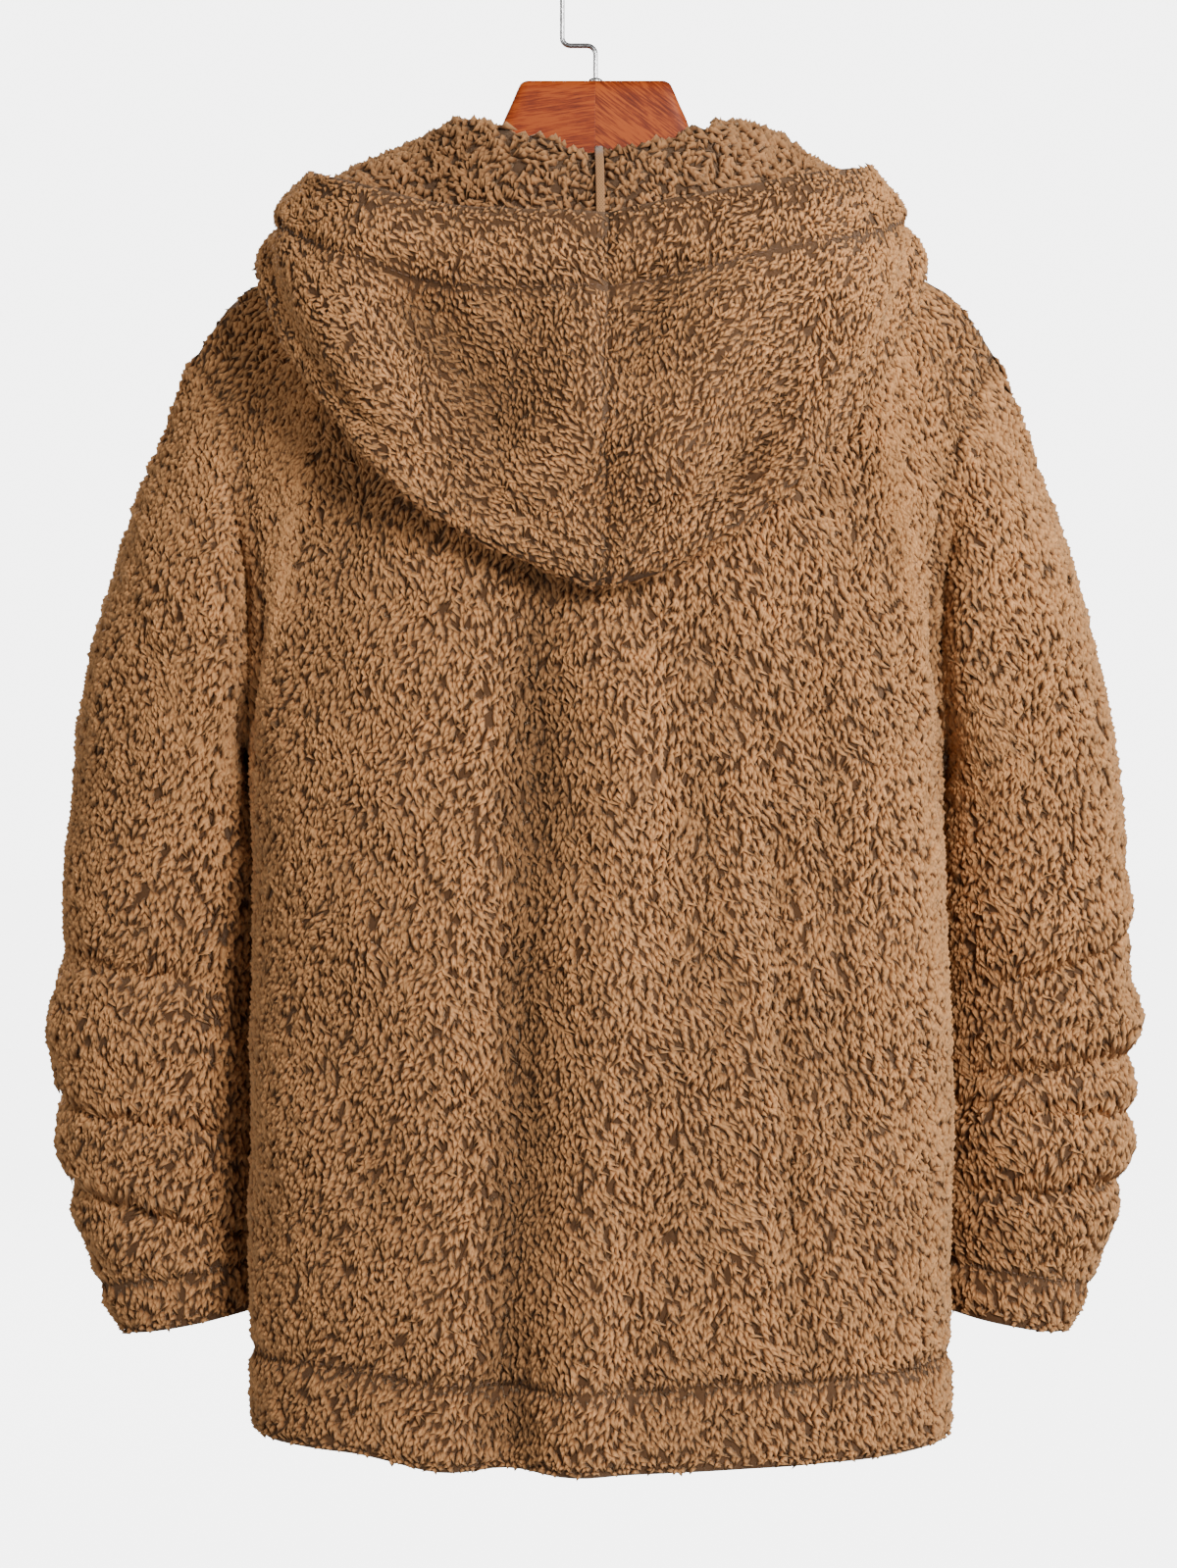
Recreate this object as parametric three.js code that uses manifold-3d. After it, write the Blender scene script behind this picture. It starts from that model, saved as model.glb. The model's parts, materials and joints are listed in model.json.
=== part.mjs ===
// A hooded jacket in double-faced pile fleece that hangs, filled out, on a wooden hanger.
// Millimetres. +Z is up, the garment's front faces -Y and its back +Y, and the wearer's left is +X.
// The origin is the top of the inside of the hook, where a rail touches it.
import * as THREE from "three";
import { mergeVertices } from "three/addons/utils/BufferGeometryUtils.js";
import Module from "manifold-3d";

const { abs, cos, exp, max, min, PI, pow, sin } = Math;

// Cloth
const WALL = 8; // cloth with its pile, both faces
const SEAM_GAP = 0.3; // between two pieces that are sewn together
const EDGE_ROLL = 2.6; // how far the middle of a free edge rounds out
const HEM_SWELL = 1.6; // how far a turned hem stands out of the wall, on each face
const STITCH_DIP = 2.4; // how deep a row of stitching presses the pile, on each face
const STITCH_WIDTH = 5;
const BODY_HEM = 47; // from a free edge to its row of stitching
const CUFF_HEM = 31;
const BRIM_HEM = 40;

// Torso
const HEM_Z = -883;
const HEM_SLANT = 0.012; // how much the hem rises towards the wearer's right
const HEM_LIFT = { from: 80, to: 145, rise: 8 }; // and how it turns up at the wearer's left side
const ARMPIT_Z = -470;
const SECTION_POWER = 0.86; // 1 is an ellipse, less is squarer
const ZIP_HALF = 9; // from the centre line to the edge of a front
const NECK = { x: 80, y: -3, z: -161, backY: 66, backZ: -166, frontY: -88, frontZ: -205 };
const NECK_STEPS = { back: 6, front: 5 }; // steps of the grid along each half of the neck
const SHOULDER_STEPS = 6;
const YOKE_STEPS = 8; // from armpit to shoulder
const HEM_ROWS = [0, 8, 27, 41, 47, 53]; // heights above the hem, close together at the stitching
const PLAIN_ROWS = 8; // from there to the armpit

// Sections of the torso, to the middle of the cloth
const TORSO = [
  { z: -883, halfWidth: 204, back: 124, front: 112, sway: -3 },
  { z: -790, halfWidth: 206, back: 126, front: 114, sway: -3 },
  { z: -650, halfWidth: 205, back: 126, front: 114, sway: -3 },
  { z: -540, halfWidth: 203, back: 124, front: 112, sway: -2 },
  { z: -470, halfWidth: 204, back: 121, front: 110, sway: 0 },
];

// Height of the shoulder seam, from the neck to the shoulder point
const SHOULDER = [
  { x: 80, z: -161 },
  { x: 120, z: -169 },
  { x: 160, z: -178 },
  { x: 199, z: -193 },
  { x: 219, z: -207 },
  { x: 239, z: -237 },
];

// How each panel's columns leave the armpit level and reach the top, at the centre, shoulder and armhole
const BACK = {
  sign: 1,
  edge: 0,
  neckSteps: NECK_STEPS.back,
  depth: "back",
  leave: { centre: [0, 10, 300], armhole: [-64, 240, 96] },
  reach: { centre: [0, -150, 190], shoulder: [0, -285, 30], armhole: [160, -240, 192] },
};
const FRONT = {
  sign: -1,
  edge: ZIP_HALF,
  neckSteps: NECK_STEPS.front,
  depth: "front",
  leave: { centre: [0, -10, 270], armhole: [-80, -250, 96] },
  reach: { centre: [0, 70, 230], shoulder: [0, 285, 30], armhole: [170, 250, 192] },
};

// Soft upright folds of the body: a trough has a negative depth. Each runs from its top to its foot.
const BACK_FOLDS = [
  { topX: 18, topZ: -385, footX: 34, footZ: -883, depth: -9, width: 22 },
  { topX: -26, topZ: -530, footX: -34, footZ: -860, depth: 5, width: 24 },
  { topX: -96, topZ: -370, footX: -100, footZ: -700, depth: -5, width: 22 },
  { topX: -136, topZ: -590, footX: -148, footZ: -760, depth: 4, width: 20 },
  { topX: 100, topZ: -400, footX: 112, footZ: -690, depth: 5, width: 44 },
  { topX: 136, topZ: -670, footX: 146, footZ: -760, depth: -4, width: 24 },
];
const FRONT_FOLDS = [
  { topX: 76, topZ: -430, footX: 62, footZ: -883, depth: -7, width: 24 },
  { topX: 122, topZ: -520, footX: 118, footZ: -850, depth: 5, width: 26 },
  { topX: -70, topZ: -400, footX: -84, footZ: -883, depth: -7, width: 22 },
  { topX: -128, topZ: -560, footX: -124, footZ: -820, depth: 4, width: 26 },
];
const FOLD_FADE = 70; // over which a fold runs out at its ends

// Sleeves, to the middle of the cloth: both sides of each tilted ring, and how far forward its middle is
const SLEEVE = [
  { share: 0, outerX: 294, outerZ: -388, innerX: 214, innerZ: -505, midY: -20, halfDepth: 63 },
  { share: 0.16, outerX: 310, outerZ: -445, innerX: 211, innerZ: -535, midY: -33, halfDepth: 64 },
  { share: 0.34, outerX: 319, outerZ: -515, innerX: 207, innerZ: -572, midY: -43, halfDepth: 63 },
  { share: 0.5, outerX: 326, outerZ: -580, innerX: 206, innerZ: -611, midY: -50, halfDepth: 62 },
  { share: 0.68, outerX: 327, outerZ: -655, innerX: 206, innerZ: -665, midY: -54, halfDepth: 59 },
  { share: 0.84, outerX: 320, outerZ: -728, innerX: 207, innerZ: -726, midY: -55, halfDepth: 54 },
  { share: 0.94, outerX: 305, outerZ: -793, innerX: 209, innerZ: -777, midY: -54, halfDepth: 46 },
  { share: 1, outerX: 288, outerZ: -828, innerX: 210, innerZ: -813, midY: -52, halfDepth: 42 },
];
const SLEEVE_HEAD_STEPS = 7;
const SLEEVE_SHARES = { plain: 6, folded: 16, cuff: [0.935, 0.955, 0.975, 0.99, 1] };
const INNER_FOLD = 0.15; // how much of a fold's depth shows on the side against the body
const FOLDS_START = 0.44; // share of the sleeve where its bunched part begins
const HEAD_LEAVE = {
  outer: [60, 0, -120], inner: [72, -8, 6], back: [100, 22, -62], front: [100, -26, -62],
};
const HEAD_REACH = {
  outer: [55, -34, -150], inner: [-12, -30, -52], back: [28, -30, -100], front: [28, -34, -100],
};

// Folds across a sleeve: height at its middle, lean as it goes round, where it faces (0 outer, 90 back,
// 180 inner), how far round it reaches, depth and half width
const LEFT_FOLDS = [
  { z: -606, lean: -9, faces: 80, reach: 80, depth: -5, width: 10 },
  { z: -600, lean: 12, faces: 265, reach: 70, depth: -5, width: 11 },
  { z: -645, lean: -4, faces: 40, reach: 150, depth: 6, width: 20 },
  { z: -643, lean: 0, faces: 120, reach: 40, depth: -3, width: 7 },
  { z: -686, lean: -16, faces: 60, reach: 130, depth: -9, width: 9 },
  { z: -670, lean: 8, faces: 275, reach: 70, depth: -7, width: 10 },
  { z: -712, lean: -10, faces: 60, reach: 150, depth: 5, width: 15 },
  { z: -746, lean: -22, faces: 90, reach: 140, depth: -9, width: 9 },
  { z: -722, lean: -8, faces: 280, reach: 60, depth: -6, width: 9 },
  { z: -766, lean: -30, faces: 40, reach: 160, depth: 4, width: 12 },
];
const RIGHT_FOLDS = [
  { z: -590, lean: -28, faces: 60, reach: 75, depth: -7, width: 10 },
  { z: -612, lean: 10, faces: 270, reach: 70, depth: -5, width: 11 },
  { z: -640, lean: -4, faces: 40, reach: 140, depth: 7, width: 17 },
  { z: -642, lean: 0, faces: 75, reach: 28, depth: -5, width: 9 },
  { z: -661, lean: -8, faces: 70, reach: 90, depth: -6, width: 7 },
  { z: -684, lean: 3, faces: 60, reach: 110, depth: -7, width: 8 },
  { z: -692, lean: 8, faces: 275, reach: 70, depth: -7, width: 10 },
  { z: -708, lean: 2, faces: 60, reach: 130, depth: 5, width: 9 },
  { z: -729, lean: -4, faces: 80, reach: 150, depth: -9, width: 9 },
  { z: -757, lean: 0, faces: 60, reach: 160, depth: 5, width: 15 },
];

// Hood, to the middle of the cloth. A row is one section of the left half, from the neck seam to the brim, at
// a share of the way from the centre front to the centre back. It heads out at an angle from straight back,
// and each of its points has a distance out from the seam and a height above it.
const HOOD = [
  {
    at: 0, heading: 168, sway: 0, riseOut: 0, riseUp: 10, foldOut: 1, foldUp: 19,
    layOut: 3, layUp: 26, trailOut: 5, trailUp: 31, turnOut: 7, turnUp: 36,
    swellOut: 9, swellUp: 41, brimOut: 11, brimUp: 46,
  },
  {
    at: 0.15, heading: 129, sway: 0, riseOut: -1, riseUp: 15, foldOut: 6, foldUp: 29,
    layOut: 19, layUp: 31, trailOut: 33, trailUp: 22, turnOut: 46, turnUp: 16,
    swellOut: 54, swellUp: 26, brimOut: 52, brimUp: 38,
  },
  {
    at: 0.3, heading: 79, sway: 1, riseOut: -1, riseUp: 20, foldOut: 9, foldUp: 43,
    layOut: 32, layUp: 41, trailOut: 60, trailUp: 24, turnOut: 84, turnUp: 4,
    swellOut: 94, swellUp: 15, brimOut: 88, brimUp: 34,
  },
  {
    at: 0.4545, heading: 54.7, sway: 3, riseOut: -1, riseUp: 22, foldOut: 13, foldUp: 53,
    layOut: 50, layUp: 38, trailOut: 98, trailUp: 2, turnOut: 136, turnUp: -42,
    swellOut: 127, swellUp: -6, brimOut: 101, brimUp: 23,
  },
  {
    at: 0.65, heading: 29.8, sway: 3, riseOut: -1, riseUp: 24, foldOut: 13, foldUp: 54,
    layOut: 42, layUp: 0, trailOut: 80, trailUp: -78, turnOut: 122, turnUp: -149,
    swellOut: 146, swellUp: -78, brimOut: 126, brimUp: 3,
  },
  {
    at: 0.82, heading: 19, sway: 0, riseOut: -2, riseUp: 23, foldOut: 12, foldUp: 43,
    layOut: 38, layUp: -14, trailOut: 64, trailUp: -112, turnOut: 94, turnUp: -194,
    swellOut: 122, swellUp: -98, brimOut: 116, brimUp: -10,
  },
  {
    at: 1, heading: 0, sway: -7, riseOut: -2, riseUp: 20, foldOut: 10, foldUp: 32,
    layOut: 38, layUp: -22, trailOut: 58, trailUp: -122, turnOut: 80, turnUp: -222,
    swellOut: 110, swellUp: -112, brimOut: 106, brimUp: -18,
  },
];
const HOOD_POINTS = ["rise", "fold", "lay", "trail", "turn", "swell", "brim"];
const BRIM_TWIST = { lift: 5, reach: 175 }; // the brim lies lower on the left and higher on the right
const HOOD_ROWS = 16; // from the neck seam to the stitched tunnel at the brim
const BRIM_ROWS = [46, 40, 34, 22, 8, 0]; // distances from the brim
const TUNNEL_SHARE = 0.5; // the most of a short section that the tunnel takes
const BINDING = { halfWidth: 3.3, thickness: 1.2, clear: 1.4, rows: 11 };

// Zip
const TAPE_HALF = 1; // half the thickness of a tape
const TAPE_FOOT = 5; // from the hem up to the tapes' ends
const TAPE_HEAD = 0.012; // share of the yoke that the tapes stop short of the neck
const SLIDER = { halfWidth: 4.8, half: 7, nose: 4, wing: 1.8, reach: 3.1 };
const BRIDGE = {
  halfWidth: 1.2, foot: 5, head: 3.5, top: 6.9, windowIn: 3.3, windowOut: 5.5, window: 1.6, sunk: 0.2,
};
const PULL = { bar: 0.75, barHalf: 3, pivot: 4.4, arm: 3.2, armInner: 2.2, halfWidth: 3.5, neck: 6, length: 30 };
const BOX = { halfWidth: 4.6, half: 6, nose: 4, wing: 1.8, reach: 3.1 };

// Hanger: sections across the left half, from the joint in the middle to the end of the arm
const HANGER = [
  { x: 0.15, top: -73, bottom: -182, half: 11, square: 0.22 },
  { x: 41, top: -73, bottom: -186, half: 11, square: 0.22 },
  { x: 45, top: -75, bottom: -187, half: 11, square: 0.24 },
  { x: 50, top: -86, bottom: -188, half: 11, square: 0.26 },
  { x: 57, top: -103, bottom: -190, half: 11, square: 0.3 },
  { x: 61, top: -135, bottom: -192, half: 11, square: 0.4 },
  { x: 65, top: -159, bottom: -193, half: 11, square: 0.6 },
  { x: 73, top: -171, bottom: -196, half: 10, square: 0.7 },
  { x: 92, top: -172.5, bottom: -202, half: 9, square: 0.75 },
];
const ARM_STATIONS = [
  { x: 120, drop: 0 },
  { x: 160, drop: 0 },
  { x: 199, drop: 3 },
  { x: 210, drop: 5 },
];
const ARM = { seat: WALL / 2 + 2.2, height: 27, half: 6, square: 1 };
const RING_SIDES = 12;
const ROUND_SIDES = 16; // of the bore and the ferrule

// Hook
const WIRE = 1.5; // radius
const HOOK = {
  radius: 20, endAngle: 184, arcSteps: 14, jogZ: -50.5, bend: 5, cut: 1.5, straight: 12, intoWood: 24,
  steps: 40, sides: 8,
}; // cut is where the bend's middle lies from its corner, and straight how far the wire is held straight
const BORE = WIRE + 0.4;
const FERRULE = { inner: WIRE + 0.3, outer: 4.5, height: 2.6 };

const COLOURS = {
  cloth: "#a9794f",
  tape: "#7d5536",
  binding: "#b08a62",
  metal: "#8d8a84",
  wood: "#a5501f",
};

const wasm = await Module();
wasm.setup();

const jacket = new THREE.Group();
jacket.name = "fleece_jacket_on_hanger";

const finish = (color, roughness, metalness = 0) =>
  new THREE.MeshStandardMaterial({ color, roughness, metalness });
const MATERIALS = {
  cloth: finish(COLOURS.cloth, 0.95),
  tape: finish(COLOURS.tape, 0.8),
  binding: finish(COLOURS.binding, 0.85),
  metal: finish(COLOURS.metal, 0.35, 0.9),
  wood: finish(COLOURS.wood, 0.35),
};

const vector = (x, y, z) => new THREE.Vector3(x, y, z);
const mix = (a, b, share) => a + (b - a) * share;
const mixAll = (a, b, share) => a.map((value, i) => mix(value, b[i], share));
const smooth = (from, to, at) => {
  const share = min(1, max(0, (at - from) / (to - from)));
  return share * share * (3 - 2 * share);
};
const bell = (distance, width) => exp(-pow(distance / width, 2));

// A smooth curve through one column of a table whose key rises, with slopes from the rows on either side.
function along(table, key, column, at) {
  const last = table.length - 1;
  const slope = (i) => {
    const before = table[max(i - 1, 0)];
    const after = table[min(i + 1, last)];
    return (after[column] - before[column]) / (after[key] - before[key]);
  };
  let i = 0;
  while (i < last - 1 && at > table[i + 1][key]) i++;
  const span = table[i + 1][key] - table[i][key];
  const share = (at - table[i][key]) / span;
  return hermite(
    [table[i][column]], [slope(i) * span], [table[i + 1][column]], [slope(i + 1) * span], share,
  )[0];
}

// The cubic that leaves one point with one tangent and reaches another with another.
function hermite(start, leave, end, reach, t) {
  const t2 = t * t;
  const t3 = t2 * t;
  const weights = [2 * t3 - 3 * t2 + 1, t3 - 2 * t2 + t, -2 * t3 + 3 * t2, t3 - t2];
  const parts = [start, leave, end, reach];
  return start.map((_, i) => parts.reduce((sum, part, k) => sum + weights[k] * part[i], 0));
}

// Torso. A point of one half panel, at a share across from the centre line to the side.
function torsoPoint(face, across, z) {
  const halfWidth = along(TORSO, "z", "halfWidth", z);
  const depth = along(TORSO, "z", face.depth, z);
  const angle = (across * PI) / 2;
  const x = face.edge + (halfWidth - face.edge) * pow(sin(angle), SECTION_POWER);
  return [x, face.sign * depth * pow(max(cos(angle), 0), SECTION_POWER), z];
}

// The neck seam and the shoulder seam, at a share across.
function topPoint(face, across) {
  const neckShare = face.neckSteps / (face.neckSteps + SHOULDER_STEPS);
  if (across < neckShare - 1e-6) {
    const angle = (across / neckShare) * (PI / 2);
    const deep = face.sign > 0 ? NECK.backY : NECK.frontY;
    const low = face.sign > 0 ? NECK.backZ : NECK.frontZ;
    const x = face.edge + (NECK.x - face.edge) * sin(angle);
    return [x, NECK.y + (deep - NECK.y) * cos(angle), low + (NECK.z - low) * pow(sin(angle), 1.3)];
  }
  const share = (across - neckShare) / (1 - neckShare);
  const x = mix(NECK.x, SHOULDER.at(-1).x, share);
  return [x, NECK.y * (1 - share), along(SHOULDER, "x", "z", x)];
}

function yokePoint(face, across, up) {
  const neckShare = face.neckSteps / (face.neckSteps + SHOULDER_STEPS);
  const toArmhole = smooth(0.62, 1, across);
  const toShoulder = smooth(0, neckShare, across);
  const leave = mixAll(face.leave.centre, face.leave.armhole, toArmhole);
  const above = mixAll(face.reach.centre, face.reach.shoulder, toShoulder);
  const reach = mixAll(above, face.reach.armhole, toArmhole);
  return hermite(torsoPoint(face, across, ARMPIT_Z), leave, topPoint(face, across), reach, up);
}

const BODY_ROWS = [
  ...HEM_ROWS.map((height) => ({ z: HEM_Z + height })),
  ...Array.from({ length: PLAIN_ROWS }, (_, i) => ({
    z: mix(HEM_Z + HEM_ROWS.at(-1), ARMPIT_Z, (i + 1) / PLAIN_ROWS),
  })),
  ...Array.from({ length: YOKE_STEPS }, (_, i) => ({ up: (i + 1) / YOKE_STEPS })),
];

function foldedDepth(folds, x, z) {
  return folds.reduce((total, fold) => {
    const share = (z - fold.topZ) / (fold.footZ - fold.topZ);
    const middle = mix(fold.topX, fold.footX, share);
    const atTop = smooth(fold.topZ + FOLD_FADE, fold.topZ - FOLD_FADE, z);
    const atFoot = fold.footZ > HEM_Z ? smooth(fold.footZ - FOLD_FADE, fold.footZ + FOLD_FADE, z) : 1;
    return total + fold.depth * bell(x - middle, fold.width) * atTop * atFoot;
  }, 0);
}

function bodyPoint(face, side, across, row) {
  const half = row.up === undefined ? torsoPoint(face, across, row.z) : yokePoint(face, across, row.up);
  const sway = row.up === undefined ? along(TORSO, "z", "sway", row.z) : 0;
  const x = side * half[0] + sway;
  const low = row.up === undefined ? (ARMPIT_Z - row.z) / (ARMPIT_Z - HEM_Z) : 0;
  const slanted = HEM_SLANT * (TORSO[0].halfWidth - x);
  const lifted = slanted + HEM_LIFT.rise * smooth(HEM_LIFT.from, HEM_LIFT.to, x);
  const folds = face.sign > 0 ? BACK_FOLDS : FRONT_FOLDS;
  const still = 1 - smooth(0.8, 1, across);
  return vector(x, half[1] + face.sign * foldedDepth(folds, x, half[2]) * still, half[2] + lifted * low);
}

// Steps across a half panel, from the centre line (0) to the side (1).
const acrossSteps = (face) => {
  const steps = face.neckSteps + SHOULDER_STEPS;
  return Array.from({ length: steps + 1 }, (_, i) => i / steps);
};

const backHalf = acrossSteps(BACK);
const backColumns = [
  ...backHalf.toReversed().map((across) => ({ side: 1, across })),
  ...backHalf.slice(1).map((across) => ({ side: -1, across })),
];
const backGrid = BODY_ROWS.map((row) =>
  backColumns.map(({ side, across }) => bodyPoint(BACK, side, across, row)));
const frontGrid = (side) =>
  BODY_ROWS.map((row) => {
    const half = acrossSteps(FRONT).map((across) => bodyPoint(FRONT, side, across, row));
    return side > 0 ? half : half.reverse();
  });

// A turned hem is thicker as far as its row of stitching, which presses the pile on both faces.
function hemHalf(distance, hem) {
  const turned = HEM_SWELL * (1 - smooth(hem - 4, hem + 4, distance));
  return WALL / 2 + turned - (STITCH_DIP + turned) * bell(distance - hem, STITCH_WIDTH);
}
const bodyHalf = (r) => (r < HEM_ROWS.length ? hemHalf(HEM_ROWS[r], BODY_HEM) : WALL / 2);

// Sleeves. The first ring is the armhole itself: down its front from the shoulder point, and up its back.
function armholeLoop(side) {
  const rows = BODY_ROWS.slice(HEM_ROWS.length + PLAIN_ROWS - 1);
  const front = rows.map((row) => bodyPoint(FRONT, side, 1, row)).reverse();
  const back = rows.map((row) => bodyPoint(BACK, side, 1, row));
  return [...front, ...back.slice(1, -1)];
}

const quarters = (table, angle, i) =>
  ((table.outer[i] + table.inner[i]) / 2) + ((table.outer[i] - table.inner[i]) / 2) * cos(angle) +
  ((table.back[i] - table.front[i]) / 2) * sin(angle) +
  ((table.back[i] + table.front[i] - table.outer[i] - table.inner[i]) / 2) * pow(sin(angle), 2);

function sleeveRingPoint(share, angle, folds) {
  const [outerX, outerZ, innerX, innerZ, midY, halfDepth] = [
    "outerX", "outerZ", "innerX", "innerZ", "midY", "halfDepth",
  ].map((column) => along(SLEEVE, "share", column, share));
  const z = mix(innerZ, outerZ, (1 + cos(angle)) / 2);
  const degrees = ((angle * 180) / PI + 360) % 360;
  const swell = folds.reduce((total, fold) => {
    const turned = ((degrees - fold.faces + 540) % 360) - 180;
    const middle = fold.z + (fold.lean * turned) / 90;
    return total + fold.depth * bell(turned, fold.reach) * bell(z - middle, fold.width);
  }, 0);
  const halfWidth = (outerX - innerX) / 2;
  const inward = cos(angle) < 0 ? INNER_FOLD : 1;
  return [
    (outerX + innerX) / 2 + (halfWidth + swell * inward) * cos(angle),
    midY + (halfDepth + swell) * sin(angle),
    z,
  ];
}

// The inner side of a sleeve follows the body's sway.
function besideBody(side, angle, [x, y, z]) {
  const sway = z < ARMPIT_Z ? along(TORSO, "z", "sway", z) : 0;
  return vector(side * x + (sway * (1 - cos(angle))) / 2, y, z);
}

const sleeveShares = [
  ...Array.from({ length: SLEEVE_SHARES.plain }, (_, i) => (FOLDS_START * (i + 1)) / SLEEVE_SHARES.plain),
  ...Array.from({ length: SLEEVE_SHARES.folded }, (_, i) =>
    mix(FOLDS_START, SLEEVE_SHARES.cuff[0], (i + 1) / SLEEVE_SHARES.folded)),
  ...SLEEVE_SHARES.cuff.slice(1),
];

function sleeveGrid(side) {
  const folds = side > 0 ? LEFT_FOLDS : RIGHT_FOLDS;
  const loop = armholeLoop(side);
  const angles = loop.map((_, c) => (-c * 2 * PI) / loop.length);
  const head = Array.from({ length: SLEEVE_HEAD_STEPS + 1 }, (_, r) =>
    loop.map((point, c) => {
      if (r === 0) return point.clone();
      const leave = [0, 1, 2].map((i) => quarters(HEAD_LEAVE, angles[c], i));
      const reach = [0, 1, 2].map((i) => quarters(HEAD_REACH, angles[c], i));
      const start = [side * point.x, point.y, point.z];
      const end = sleeveRingPoint(0, angles[c], folds);
      const made = hermite(start, leave, end, reach, r / SLEEVE_HEAD_STEPS);
      return besideBody(side, angles[c], made);
    }));
  const rest = sleeveShares.map((share) =>
    angles.map((angle) => besideBody(side, angle, sleeveRingPoint(share, angle, folds))));
  const grid = [...head, ...rest];
  return side > 0 ? grid : grid.map((row) => [row[0], ...row.slice(1).reverse()]);
}

function sleeveHalf(r, grid) {
  const fromEnd = abs(grid.at(-1)[0].z - grid[r][0].z);
  return r > SLEEVE_HEAD_STEPS ? hemHalf(fromEnd, CUFF_HEM) : WALL / 2;
}

// Hood. One section of the left half, as the points that its curve goes through. The sway is not mirrored.
function hoodSection(at, side) {
  const step = at * (NECK_STEPS.front + NECK_STEPS.back);
  const onFront = step <= NECK_STEPS.front;
  const across = onFront
    ? step / (NECK_STEPS.front + SHOULDER_STEPS)
    : (NECK_STEPS.front + NECK_STEPS.back - step) / (NECK_STEPS.back + SHOULDER_STEPS);
  const seam = topPoint(onFront ? FRONT : BACK, across);
  const heading = (along(HOOD, "at", "heading", at) * PI) / 180;
  const sway = along(HOOD, "at", "sway", at);
  const rest = HOOD_POINTS.map((name, i) => {
    const out = along(HOOD, "at", name + "Out", at);
    const up = along(HOOD, "at", name + "Up", at);
    const x = side * (seam[0] + out * sin(heading)) + (sway * (i + 1)) / HOOD_POINTS.length;
    const twist = abs(x) < BRIM_TWIST.reach ? BRIM_TWIST.lift * sin((PI * x) / BRIM_TWIST.reach) : 0;
    const atBrim = max(0, i + 3 - HOOD_POINTS.length) / 2;
    return vector(x, seam[1] + out * cos(heading), seam[2] + up - twist * atBrim);
  });
  return [vector(side * seam[0], seam[1], seam[2]), ...rest];
}

// A point of a section's curve, at a whole number for each of its points.
function sectionPoint(points, t) {
  const i = min(Math.floor(t), points.length - 2);
  const from = points[i];
  const to = points[i + 1];
  const slope = (k) => points[min(k + 1, points.length - 1)].clone().sub(points[max(k - 1, 0)])
    .multiplyScalar(k === 0 || k === points.length - 1 ? 1 : 0.5);
  const [leave, reach] = [slope(i).toArray(), slope(i + 1).toArray()];
  return vector(...hermite(from.toArray(), leave, to.toArray(), reach, t - i));
}

// Where on a section the way left to the brim is each of the given distances.
function placesFromBrim(points, distances) {
  const fine = 280;
  const last = points.length - 1;
  const left = new Array(fine + 1).fill(0);
  for (let k = fine - 1; k >= 0; k--) {
    const next = sectionPoint(points, ((k + 1) * last) / fine);
    left[k] = left[k + 1] + next.distanceTo(sectionPoint(points, (k * last) / fine));
  }
  const scale = min(1, (TUNNEL_SHARE * left[0]) / distances[0]);
  return distances.map((distance) => {
    const k = left.findLastIndex((way) => way >= distance * scale - 1e-9);
    const step = k < fine ? (left[k] - distance * scale) / (left[k] - left[k + 1]) : 0;
    return ((k + step) * last) / fine;
  });
}

function hoodGrid(side) {
  const columns = NECK_STEPS.front + NECK_STEPS.back;
  const sections = Array.from({ length: columns + 1 }, (_, j) => {
    const points = hoodSection(j / columns, side);
    const brim = placesFromBrim(points, BRIM_ROWS);
    const places = [...Array.from({ length: HOOD_ROWS }, (_, i) => (brim[0] * i) / HOOD_ROWS), ...brim];
    return places.map((t) => sectionPoint(points, t));
  });
  const ordered = side > 0 ? sections : sections.reverse();
  return ordered[0].map((_, r) => ordered.map((section) => section[r]));
}
const hoodHalf = (r) => (r < HOOD_ROWS ? WALL / 2 : hemHalf(BRIM_ROWS[r - HOOD_ROWS], BRIM_HEM));

// Walls. Points that two pieces share get one normal, so their cut faces lie against each other.
const pointKey = (point) => point.toArray().map((value) => Math.round(value * 1000) + 0).join();

function sharedNormals(pieces) {
  const normals = new Map();
  for (const { grid, tube } of pieces) {
    const columns = grid[0].length;
    for (let r = 0; r + 1 < grid.length; r++) {
      for (let c = 0; c + (tube ? 0 : 1) < columns; c++) {
        const next = (c + 1) % columns;
        const corners = [grid[r][c], grid[r][next], grid[r + 1][next], grid[r + 1][c]];
        const across = corners[2].clone().sub(corners[0]);
        const area = across.cross(corners[3].clone().sub(corners[1]));
        corners.forEach((corner) => {
          const key = pointKey(corner);
          if (!normals.has(key)) normals.set(key, vector(0, 0, 0));
          normals.get(key).add(area);
        });
      }
    }
  }
  normals.forEach((normal) => normal.normalize());
  return normals;
}

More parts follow.
